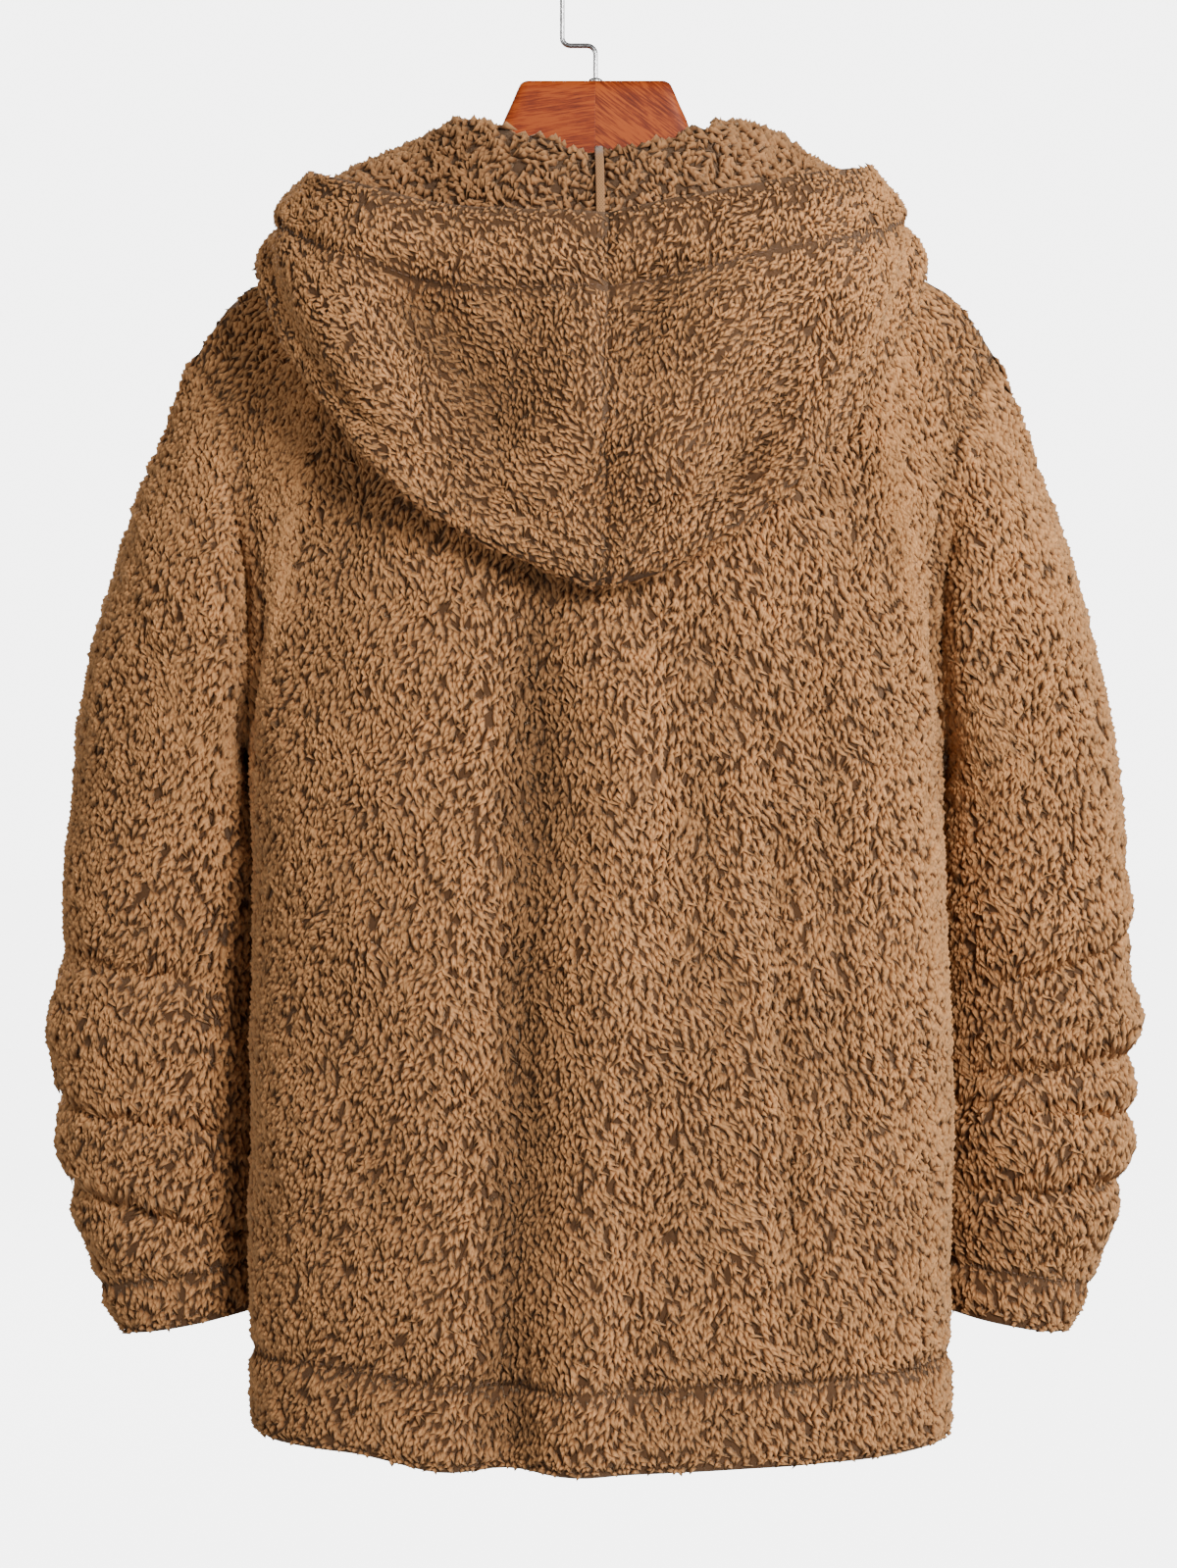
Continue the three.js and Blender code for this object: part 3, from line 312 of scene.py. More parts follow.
class Piece:
    """One finished piece of the dressed part."""

    def __init__(
        self, name: str, mesh: Mesh, finishes: Sequence["Finish"], replaces: Sequence[str] = (), crease: float = 180.0
    ) -> None:
        """Make the object from its mesh.

        Args:
            name: The piece's name.
            mesh: Its mesh, in millimetres.
            finishes: Its finishes, in the order of the mesh's slots.
            replaces: The solids that it stands for.
            crease: The angle past which an edge is sharp.
        """
        data = bpy.data.meshes.new(name)
        corners = mesh.faces.shape[1]
        data.vertices.add(len(mesh.points))
        data.vertices.foreach_set("co", (mesh.points * MM).astype(np.float32).ravel())
        data.loops.add(mesh.faces.size)
        data.loops.foreach_set("vertex_index", mesh.faces.astype(np.int32).ravel())
        data.polygons.add(len(mesh.faces))
        data.polygons.foreach_set("loop_start", np.arange(0, mesh.faces.size, corners, dtype=np.int32))
        data.polygons.foreach_set("use_smooth", np.ones(len(mesh.faces), bool))
        if mesh.slots is not None:
            data.polygons.foreach_set("material_index", mesh.slots.astype(np.int32))
        data.uv_layers.new(name="OFBake").data.foreach_set("uv", mesh.uv.astype(np.float32).ravel())
        if mesh.strand is not None:
            data.uv_layers.new(name="strand").data.foreach_set("uv", mesh.strand.astype(np.float32).ravel())
        for key, value in mesh.values.items():
            data.attributes.new(key, "FLOAT", "POINT").data.foreach_set("value", value.astype(np.float32).ravel())
        data.update(calc_edges=True)
        data.validate()
        if crease < 180:
            data.set_sharp_from_angle(angle=math.radians(crease))
        for finish in finishes:
            data.materials.append(finish.material())
        self.object = bpy.data.objects.new(name, data)
        bpy.context.collection.objects.link(self.object)
        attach(self.object, "root")
        if replaces:
            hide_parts(*replaces)
        log.info("%s: %d triangles", name, len(mesh.faces) * (corners - 2))


def joined(meshes: Sequence[Mesh]) -> Mesh:
    """Return the meshes as one."""
    starts = np.cumsum([0] + [len(m.points) for m in meshes[:-1]])
    return Mesh(
        np.concatenate([m.points for m in meshes]),
        np.concatenate([m.faces + start for m, start in zip(meshes, starts)]),
        np.concatenate([m.uv for m in meshes]),
        {key: np.concatenate([m.values[key] for m in meshes]) for key in meshes[0].values},
        None if meshes[0].slots is None else np.concatenate([m.slots for m in meshes]),
    )


def grid_faces(rows: int, columns: int, around: bool) -> tuple[Array, Array]:
    """Return the faces of a grid of points, and each corner's place in the unit square.

    Args:
        rows: How many rows of points.
        columns: How many points in a row.
        around: Whether the last column joins the first.

    Returns:
        The corner indices (faces x 4) and places (faces x 4 x 2).
    """
    r, c = np.meshgrid(np.arange(rows - 1), np.arange(columns - (not around)), indexing="ij")
    r, c = r.ravel(), c.ravel()
    right = (c + 1) % columns
    faces = np.stack([r * columns + c, r * columns + right, (r + 1) * columns + right, (r + 1) * columns + c], 1)
    u = np.stack([c, c + 1, c + 1, c], 1) / (columns - (not around))
    v = np.stack([r, r, r + 1, r + 1], 1) / (rows - 1)
    return faces, np.stack([u, v], 2)


def sample(values: Array, r: Array, c: Array, around: bool = False) -> Array:
    """Return a grid's values between its points, each from the four points round it.

    Args:
        values: The grid, rows x columns, with or without coordinates.
        r: Places along the rows, in grid steps.
        c: Places along the columns, in grid steps.
        around: Whether the last column joins the first.

    Returns:
        The values at those places.
    """
    rows, columns = values.shape[:2]
    r0 = np.clip(np.floor(r).astype(int), 0, rows - 2)
    c0 = np.floor(c).astype(int) if around else np.clip(np.floor(c).astype(int), 0, columns - 2)
    tr, tc = r - r0, c - c0
    if values.ndim == 3:
        tr, tc = tr[..., None], tc[..., None]
    c1 = (c0 + 1) % columns
    c0 = c0 % columns
    low = mix(values[r0, c0], values[r0, c1], tc)
    return mix(low, mix(values[r0 + 1, c0], values[r0 + 1, c1], tc), tr)


def run_length(points: Array) -> Array:
    """Return how far along a line each of its points is."""
    steps = np.linalg.norm(np.diff(points, axis=0), axis=-1)
    return np.concatenate([[0], np.cumsum(steps)])


def evenly(points: Array, step: float) -> tuple[Array, Array]:
    """Return places about a step apart along a line, as fractional indices, and the way along at each."""
    way = run_length(points)
    at = np.linspace(0, way[-1], max(2, round(way[-1] / step) + 1))
    return np.interp(at, way, np.arange(len(points))), at


# Finishes


class Shader:
    """A material's nodes, made one after another."""

    def __init__(self, name: str) -> None:
        """Start a material with one surface shader."""
        self.made = bpy.data.materials.new(name)
        self.made.use_nodes = True
        self._tree = self.made.node_tree
        self._tree.nodes.clear()
        self.surface = self._tree.nodes.new("ShaderNodeBsdfPrincipled")
        output = self._tree.nodes.new("ShaderNodeOutputMaterial")
        self._tree.links.new(self.surface.outputs[0], output.inputs[0])

    def node(self, kind: str, inputs: dict | None = None, **settings: object) -> bpy.types.Node:
        """Add a node.

        Args:
            kind: Its type, without the usual prefix.
            inputs: Values or other nodes' outputs, by the socket's name or number.
            settings: Its properties.

        Returns:
            The node.
        """
        made = self._tree.nodes.new("ShaderNode" + kind)
        for key, value in settings.items():
            setattr(made, key, value)
        for key, value in (inputs or {}).items():
            self.set(made.inputs[key], value)
        return made

    def set(self, socket: bpy.types.NodeSocket, value: object) -> None:
        """Give a socket a value, or another node's output."""
        if isinstance(value, bpy.types.NodeSocket):
            self._tree.links.new(value, socket)
        else:
            socket.default_value = value

    def finish(self, **inputs: object) -> bpy.types.Material:
        """Set the surface shader's sockets, named with underscores for spaces, and return the material."""
        for key, value in inputs.items():
            self.set(self.surface.inputs[key.replace("_", " ")], value)
        return self.made

    def ramp(self, factor: bpy.types.NodeSocket, *stops: tuple[float, tuple[float, float, float]]) -> bpy.types.NodeSocket:
        """Return a colour that runs through stops, each a place and a linear colour."""
        made = self.node("ValToRGB", {"Fac": factor})
        ramp = made.color_ramp
        while len(ramp.elements) < len(stops):
            ramp.elements.new(1)
        for element, (place, colour) in zip(ramp.elements, stops):
            element.position = place
            element.color = (*colour, 1)
        return made.outputs["Color"]

    def place(self, scale: tuple[float, float, float], turn: tuple[float, float, float] = (0, 0, 0)) -> bpy.types.NodeSocket:
        """Return object coordinates, turned by degrees and then scaled."""
        at = self.node("TexCoord").outputs["Object"]
        turned = self.node("Mapping", {"Vector": at, "Rotation": tuple(math.radians(a) for a in turn)}).outputs[0]
        return self.node("Mapping", {"Vector": turned, "Scale": scale}).outputs[0]

    def bump(self, height: bpy.types.NodeSocket, depth: float) -> bpy.types.NodeSocket:
        """Return a normal that a height of 0 to 1 raises by a depth in metres."""
        return self.node("Bump", {"Height": height, "Strength": 1.0, "Distance": depth}).outputs[0]


class Finish:
    """A finish, made once and shared by its pieces."""

    _made: dict["Finish", bpy.types.Material] = {}

    def material(self) -> bpy.types.Material:
        """Return the finish's material, making it the first time."""
        if self not in Finish._made:
            Finish._made[self] = self.build()
        return Finish._made[self]

    def build(self) -> bpy.types.Material:
        """Make the material."""
        raise NotImplementedError


@dataclass(frozen=True)
class PileFinish(Finish):
    """Locks of pile: dark at the root as painted shade between the locks, and pale on the crown, the fleece's lighter
    tips with a painted highlight; each lock with its own tone, which also carries painted shade and light from the
    cloth's relief, and fine strands.
    """

    name: str
    root: tuple[float, float, float]
    body: tuple[float, float, float]
    crown: tuple[float, float, float]
    sheen: float = 0.25

    def build(self) -> bpy.types.Material:
        """Colour by the point's height on its lock, times the lock's tone, and raise strands along the lock."""
        s = Shader(self.name)
        height = s.node("Attribute", attribute_name="height").outputs["Fac"]
        tone = s.node("Attribute", attribute_name="tone").outputs["Fac"]
        # Painted shade: dark at each lock's root, between the locks; the pale crown is the fleece's lighter tips with a
        # painted highlight.
        colour = s.ramp(height, (0.0, self.root), (0.5, self.body), (1.0, self.crown))
        on_lock = s.node("UVMap", uv_map="strand").outputs[0]
        stretched = s.node("Mapping", {"Vector": on_lock, "Scale": (1.1, 0.22, 1.0)}).outputs[0]
        strands = s.node("TexNoise", {"Vector": stretched, "Scale": 1.0, "Detail": 2.0, "Distortion": 0.6}).outputs["Fac"]
        own = s.node("Math", {0: strands, 1: 0.55, 2: tone}, operation="MULTIPLY_ADD").outputs[0]
        level = s.node("MapRange", {"Value": own, "From Min": 0.275, "From Max": 1.275, "To Min": 0.5, "To Max": 1.5})
        shaded = s.node("VectorMath", {0: colour, 1: level.outputs[0]}, operation="MULTIPLY").outputs[0]
        return s.finish(
            Base_Color=shaded, Roughness=0.8, Sheen_Weight=self.sheen, Sheen_Roughness=0.45,
            Sheen_Tint=(0.9, 0.62, 0.38, 1), Specular_IOR_Level=0.25, Normal=s.bump(strands, 0.0011),
        )


@dataclass(frozen=True)
class BackingFinish(Finish):
    """The ground of the pile: matted fibre, curled at the size of a lock, coloured dark as painted shade under the
    locks.
    """

    name: str
    deep: tuple[float, float, float]
    raised: tuple[float, float, float]
    curl: float  # how many curls to a metre
    depth: float

    def build(self) -> bpy.types.Material:
        """Colour and raise by cells stretched down the nap, broken up by fine fibre noise; the cells' hollows are
        darker, painted shade.
        """
        s = Shader(self.name)
        drift = s.node("TexNoise", {"Vector": s.place((60, 60, 60)), "Detail": 2.0}).outputs["Color"]
        near = s.node("VectorMath", {0: s.place((self.curl, self.curl, self.curl * 0.6)), 1: drift}, operation="ADD")
        cells = s.node("TexVoronoi", {"Vector": near.outputs[0], "Scale": 1.0}, feature="SMOOTH_F1").outputs["Distance"]
        fibre = s.node("TexNoise", {"Vector": s.place((1400, 1400, 500)), "Detail": 3.0}).outputs["Fac"]
        patch = s.node("TexNoise", {"Vector": s.place((22, 22, 14)), "Detail": 2.0}).outputs["Fac"]
        hollow = s.node("Math", {0: cells, 1: -0.85, 2: 1.0}, operation="MULTIPLY_ADD").outputs[0]
        height = s.node("Math", {0: fibre, 1: 0.35, 2: hollow}, operation="MULTIPLY_ADD").outputs[0]
        shade = s.node("Math", {0: patch, 1: 0.4, 2: height}, operation="MULTIPLY_ADD").outputs[0]
        # Painted shade: darker in the hollows of the cells, paler on their tops.
        colour = s.ramp(shade, (0.35, self.deep), (1.25 / 1.4, self.raised))
        return s.finish(
            Base_Color=colour, Roughness=0.95, Sheen_Weight=0.3, Sheen_Tint=(0.9, 0.68, 0.48, 1),
            Specular_IOR_Level=0.15, Normal=s.bump(height, self.depth),
        )


@dataclass(frozen=True)
class WovenFinish(Finish):
    """Woven tape or thread: slanting yarns with small dark gaps."""

    name: str
    yarn: tuple[float, float, float]
    gap: tuple[float, float, float]
    pitch: float = 0.9  # millimetres from yarn to yarn

    def build(self) -> bpy.types.Material:
        """Raise yarns that cross at two slants, and darken the gaps between them."""
        s = Shader(self.name)
        scale = 1000 / self.pitch * 2 * math.pi / 20
        one = s.node("TexWave", {"Vector": s.place((1, 1, 1), (0, 35, 0)), "Scale": scale}).outputs["Fac"]
        two = s.node("TexWave", {"Vector": s.place((1, 1, 1), (0, -35, 0)), "Scale": scale}).outputs["Fac"]
        yarns = s.node("Math", {0: one, 1: two}, operation="MAXIMUM").outputs[0]
        wear = s.node("TexNoise", {"Vector": s.place((300, 300, 300)), "Detail": 3.0}).outputs["Fac"]
        tone = s.node("Math", {0: wear, 1: 0.3, 2: yarns}, operation="MULTIPLY_ADD").outputs[0]
        colour = s.ramp(tone, (0.2, self.gap), (1.0, self.yarn))
        return s.finish(
            Base_Color=colour, Roughness=0.75, Sheen_Weight=0.2, Specular_IOR_Level=0.3, Normal=s.bump(yarns, 0.00025)
        )


@dataclass(frozen=True)
class WoodFinish(Finish):
    """Varnished reddish wood, with its grain at a slant."""

    name: str
    slant: float  # degrees
    dark: tuple[float, float, float]
    middle: tuple[float, float, float]
    light: tuple[float, float, float]

    def build(self) -> bpy.types.Material:
        """Draw long grain lines and fine pores along the slant, under a clear glossy coat."""
        s = Shader(self.name)
        turn = (0, self.slant, 0)
        bend = s.node("TexNoise", {"Vector": s.place((9, 9, 30), turn), "Detail": 2.0}).outputs["Fac"]
        lines = s.node("TexNoise", {"Vector": s.place((14, 60, 240), turn), "Detail": 5.0, "Distortion": 0.4})
        pores = s.node("TexNoise", {"Vector": s.place((120, 900, 1500), turn), "Detail": 2.0}).outputs["Fac"]
        both = s.node("Math", {0: bend, 1: 0.6, 2: lines.outputs["Fac"]}, operation="MULTIPLY_ADD").outputs[0]
        grain = s.node("Math", {0: pores, 1: 0.25, 2: both}, operation="MULTIPLY_ADD").outputs[0]
        colour = s.ramp(grain, (0.68, self.dark), (0.92, self.middle), (1.0, self.light))
        return s.finish(
            Base_Color=colour, Roughness=0.5, Specular_IOR_Level=0.22, Coat_Weight=0.06, Coat_Roughness=0.3,
            Normal=s.bump(pores, 0.00005),
        )


@dataclass(frozen=True)
class MetalFinish(Finish):
    """Worked metal with fine wear."""

    name: str
    colour: tuple[float, float, float]
    worn: tuple[float, float, float]
    roughness: float

    def build(self) -> bpy.types.Material:
        """Mottle the colour and roughness, and scratch the surface finely."""
        s = Shader(self.name)
        spots = s.node("TexNoise", {"Vector": s.place((180, 180, 180)), "Detail": 4.0}).outputs["Fac"]
        lines = s.node("TexNoise", {"Vector": s.place((2500, 300, 300)), "Detail": 2.0}).outputs["Fac"]
        colour = s.ramp(spots, (0.35, self.worn), (0.65, self.colour))
        rough = s.node(
            "MapRange", {"Value": spots, "To Min": self.roughness * 0.7, "To Max": self.roughness * 1.4}
        ).outputs[0]
        return s.finish(Base_Color=colour, Metallic=1.0, Roughness=rough, Normal=s.bump(lines, 0.00003))


@dataclass(frozen=True)
class FloorFinish(Finish):
    """The studio's pale paper."""

    name: str = "pale_paper"

    def build(self) -> bpy.types.Material:
        """Even pale paper, lit a little from within so that it meets the background."""
        s = Shader(self.name)
        seen = s.node("LightPath").outputs["Is Camera Ray"]
        glow = s.node("Math", {0: seen, 1: Studio.paper - 0.25}, operation="MULTIPLY").outputs[0]
        return s.finish(Base_Color=(0.3, 0.3, 0.3, 1), Roughness=0.9, Emission_Color=(1, 1, 1, 1), Emission_Strength=glow)


# The pile's root colours are painted shade between the locks, and its crown colours are partly a painted highlight.
FLEECE = PileFinish("fleece_pile", (0.028, 0.009, 0.003), (0.25, 0.106, 0.036), (0.62, 0.305, 0.118))
# The inner pile and inner ground are darker copies of the outer ones: painted shade on the faces turned inward.
INNER_PILE_SHADED = PileFinish("fleece_pile_inside_shaded", (0.022, 0.008, 0.003), (0.18, 0.076, 0.027), (0.50, 0.245, 0.098))
# The ground colours are dark as painted shade under the locks.
SHADED_GROUND = BackingFinish("fleece_ground_painted_shade", (0.022, 0.008, 0.003), (0.115, 0.048, 0.017), 260.0, 0.0020)
INNER_GROUND_SHADED = BackingFinish("fleece_inside_painted_shade", (0.018, 0.007, 0.002), (0.100, 0.042, 0.015), 230.0, 0.0022)
THREAD = WovenFinish("brown_thread", (0.20, 0.10, 0.048), (0.08, 0.038, 0.018), 0.8)
ZIP_TAPE = WovenFinish("brown_zip_tape", (0.150, 0.076, 0.036), (0.05, 0.025, 0.012), 0.9)
NECK_TAPE = WovenFinish("tan_seam_tape", (0.44, 0.220, 0.088), (0.17, 0.075, 0.029), 1.3)
WOOD_LEFT = WoodFinish("red_wood_straight", -8.0, (0.12, 0.013, 0.002), (0.28, 0.038, 0.004), (0.38, 0.068, 0.008))
WOOD_RIGHT = WoodFinish("red_wood_slanting", 38.0, (0.10, 0.011, 0.002), (0.24, 0.033, 0.004), (0.41, 0.078, 0.010))
WIRE_STEEL = MetalFinish("bright_wire", (0.72, 0.72, 0.73), (0.50, 0.49, 0.48), 0.2)
COLLAR_STEEL = MetalFinish("pale_ferrule", (0.85, 0.84, 0.82), (0.62, 0.60, 0.57), 0.3)
ZIP_METAL = MetalFinish("aged_zip_metal", (0.42, 0.34, 0.22), (0.16, 0.12, 0.08), 0.34)
TEETH = MetalFinish("zip_teeth", (0.40, 0.32, 0.20), (0.15, 0.11, 0.07), 0.38)


# Cloth


def wall_half(from_edge: Array, hem: float) -> Array:
    """Return half the wall: thicker as far as the turned hem's stitching, which presses it in.

    Args:
        from_edge: The way from the free edge.
        hem: Where the row of stitching is.

    Returns:
        WALL / 2 + s - (STITCH_DIP + s) bell(from_edge - hem), where s is HEM_SWELL inside the hem and 0 past it.
    """
    swell = HEM_SWELL * (1 - smooth(hem - 4, hem + 4, from_edge))
    return WALL / 2 + swell - (STITCH_DIP + swell) * bell(from_edge - hem, STITCH_WIDTH)


class Edge(Enum):
    """How an edge of a panel ends."""

    SEWN = "sewn"
    FREE = "free"


@dataclass
class Panel:
    """One cut of the fleece: a grid of points in the middle of the cloth, which columns cross and rows climb.

    Its outer face lies where the columns' way crossed with the rows' way points.
    """

    name: str
    middle: Array
    from_hem: Array  # rows x columns: the way from the free edge
    hem: float
    flat: tuple[float, float]
    area: float
    tube: bool = False
    first_row: Edge = Edge.SEWN
    last_row: Edge = Edge.SEWN
    first_column: Edge = Edge.SEWN
    last_column: Edge = Edge.SEWN
    normals: Array = field(init=False)
    half: Array = field(init=False)
    from_seam: Array = field(init=False)

    def __post_init__(self) -> None:
        """Work out the grid's normals, its wall and each point's way from the nearest seam."""
        p = self.middle
        if self.tube:
            across = np.roll(p, -1, 1) - np.roll(p, 1, 1)
        else:
            across = np.gradient(p, axis=1)
        self.normals = unit(np.cross(across, np.gradient(p, axis=0)))
        self.half = wall_half(self.from_hem, self.hem)
        along = np.concatenate(
            [np.zeros((1, p.shape[1])), np.cumsum(np.linalg.norm(np.diff(p, axis=0), axis=2), 0)]
        )
        away = [np.full(p.shape[:2], 1e3)]
        if self.first_row is Edge.SEWN:
            away.append(along)
        if self.last_row is Edge.SEWN:
            away.append(along[-1:] - along)
        if not self.tube:
            side = np.concatenate(
                [np.zeros((p.shape[0], 1)), np.cumsum(np.linalg.norm(np.diff(p, axis=1), axis=2), 1)], axis=1
            )
            if self.first_column is Edge.SEWN:
                away.append(side)
            if self.last_column is Edge.SEWN:
                away.append(side[:, -1:] - side)
        self.from_seam = np.min(away, axis=0)
        soft = 1.3 * waves(p, 115, 41) + 0.8 * waves(p, 48, 42)
        self.middle = p + self.normals * (soft * smooth(2, 34, self.from_seam))[..., None]
        self.relief = self._relief() * smooth(2, 24, self.from_seam) * smooth(2, 24, self.from_hem)

    def _relief(self) -> Array:
        """Return how far each point stands out from the smoothed surface: p - (the mean of its neighbours, repeated)."""
        even = self.middle
        for _ in range(RELIEF_PASSES):
            ends = np.concatenate([even[:1], even, even[-1:]])
            even = (ends[:-2] + 2 * ends[1:-1] + ends[2:]) / 4
            sides = (even[:, -1:], even[:, :1]) if self.tube else (even[:, :1], even[:, -1:])
            ends = np.concatenate([sides[0], even, sides[1]], axis=1)
            even = (ends[:, :-2] + 2 * ends[:, 1:-1] + ends[:, 2:]) / 4
        return ((self.middle - even) * self.normals).sum(-1)

    def surface_area(self) -> float:
        """Return the area of the middle of the cloth, in square metres."""
        p = np.concatenate([self.middle, self.middle[:, :1]], 1) if self.tube else self.middle
        cross = np.cross(p[1:, 1:] - p[:-1, :-1], p[1:, :-1] - p[:-1, 1:])
        return float(np.linalg.norm(cross, axis=2).sum() / 2) * MM * MM

    def _loops(self) -> list[Array]:
        """Return the rims as indices of grid points, each loop with the cloth on its left."""
        rows, columns = self.middle.shape[:2]
        ids = np.arange(rows * columns).reshape(rows, columns)
        if self.tube:
            return [ids[0], ids[-1][::-1]]
        return [np.concatenate([ids[0, :-1], ids[:-1, -1], ids[-1, :0:-1], ids[:0:-1, 0]])]

    def _ways_out(self) -> tuple[Array, Array]:
        """Return how far each grid point draws back from its seams, and how far its free edges round out."""
        back, out = np.zeros_like(self.middle), np.zeros_like(self.middle)
        p = self.middle
        edges = [(np.s_[0], p[0] - p[1], self.first_row), (np.s_[-1], p[-1] - p[-2], self.last_row)]
        if not self.tube:
            edges += [
                (np.s_[:, 0], p[:, 0] - p[:, 1], self.first_column),
                (np.s_[:, -1], p[:, -1] - p[:, -2], self.last_column),
            ]
        for where, way, edge in edges:
            n = self.normals[where]
            way = unit(way - n * (way * n).sum(-1, keepdims=True))
            if edge is Edge.SEWN:
                back[where] -= way * SEAM_GAP / 2
                out[where] += way * 0.1
            else:
                out[where] += way * EDGE_ROLL
        return back, out

    def faces(self) -> tuple[Array, Array]:
        """Return the backing's outer and inner face: the wall less the pile, thinner at the seams."""
        pressed = 1.6 * bell(self.from_seam, 4.5)
        depth = (np.maximum(self.half - PILE - pressed, 0.7))[..., None]
        back, _ = self._ways_out()
        middle = self.middle + back
        return middle + self.normals * depth, middle - self.normals * depth

    def backing(self) -> Mesh:
        """Return the closed backing: two faces, and rims that go round from one to the other in four steps."""
        rows, columns = self.middle.shape[:2]
        outer, inner = self.faces()
        count = rows * columns
        faces, places = grid_faces(rows, columns, self.tube)
        points, all_faces = [outer.reshape(-1, 3), inner.reshape(-1, 3)], [faces, faces[:, ::-1] + count]
        shrink = np.array([0.49, 0.97])
        maps = [places * shrink, places[:, ::-1] * shrink + np.array([0.51, 0])]
        _, out = self._ways_out()
        out, flat_outer, flat_inner = out.reshape(-1, 3), points[0], points[1]
        start = 2 * count
        for number, loop in enumerate(self._loops()):
            centre, arm = (flat_outer[loop] + flat_inner[loop]) / 2, (flat_outer[loop] - flat_inner[loop]) / 2
            angles = np.linspace(0, math.pi, 5)[1:-1, None, None]
            ring = centre + arm * np.cos(angles) + out[loop] * np.sin(angles)
            points.append(ring.reshape(-1, 3))
            size = len(loop)
            ids = np.concatenate([loop[None], start + np.arange(3 * size).reshape(3, size), loop[None] + count])
            after = np.roll(ids, -1, 1)
            rim = np.stack([after[:-1], ids[:-1], ids[1:], after[1:]], 3 - 1).reshape(-1, 4)
            all_faces.append(rim)
            k, i = np.meshgrid(np.arange(4), np.arange(size), indexing="ij")
            u = np.stack([i + 1, i, i, i + 1], 2) / size
            v = 0.975 + 0.012 * number + np.stack([k, k, k + 1, k + 1], 2) / 4 * 0.01
            maps.append(np.stack([u, v], 3).reshape(-1, 4, 2))
            start += 3 * size
        slots = np.zeros(sum(len(f) for f in all_faces), int)
        slots[len(faces) : 2 * len(faces)] = 1
        return Mesh(np.concatenate(points), np.concatenate(all_faces), np.concatenate(maps), slots=slots)


@dataclass(frozen=True)
class Nap:
    """How a stretch of pile lies and how big its locks are."""

    spacing: float = 3.55  # from lock to lock
    length: float = 10.8
    width: float = 5.0
    height: float = 2.9
    lean: float = 0.22  # how far the nap turns out from the parting as it goes down
    wander: float = 0.26  # radians that clumps turn from the nap
    scatter: float = 0.11  # radians that single locks turn
    fringe: float = 0.0  # how much longer locks hang from an overhang
    cover: float = 0.0  # how far locks by an upper free edge move up to it, as a share of their length
    inner: bool = False
    deepest: float = 1e9  # how far from the free edge it goes
    tone: float = 0.5


# One lock: its way along, across and up, as shares of its length, width and height, and how high it counts for colour
LOCK_POINTS = np.array(
    [(0.0, 0.0, -0.25, 0.0), (0.38, -0.5, -0.1, 0.25), (0.38, 0.5, -0.1, 0.25), (0.52, 0.0, 1.0, 1.0), (1.0, 0.0, 0.35, 0.7)]
)
LOCK_FACES = np.array([(0, 1, 3), (0, 3, 2), (1, 4, 3), (2, 3, 4), (0, 2, 1), (1, 2, 4)])


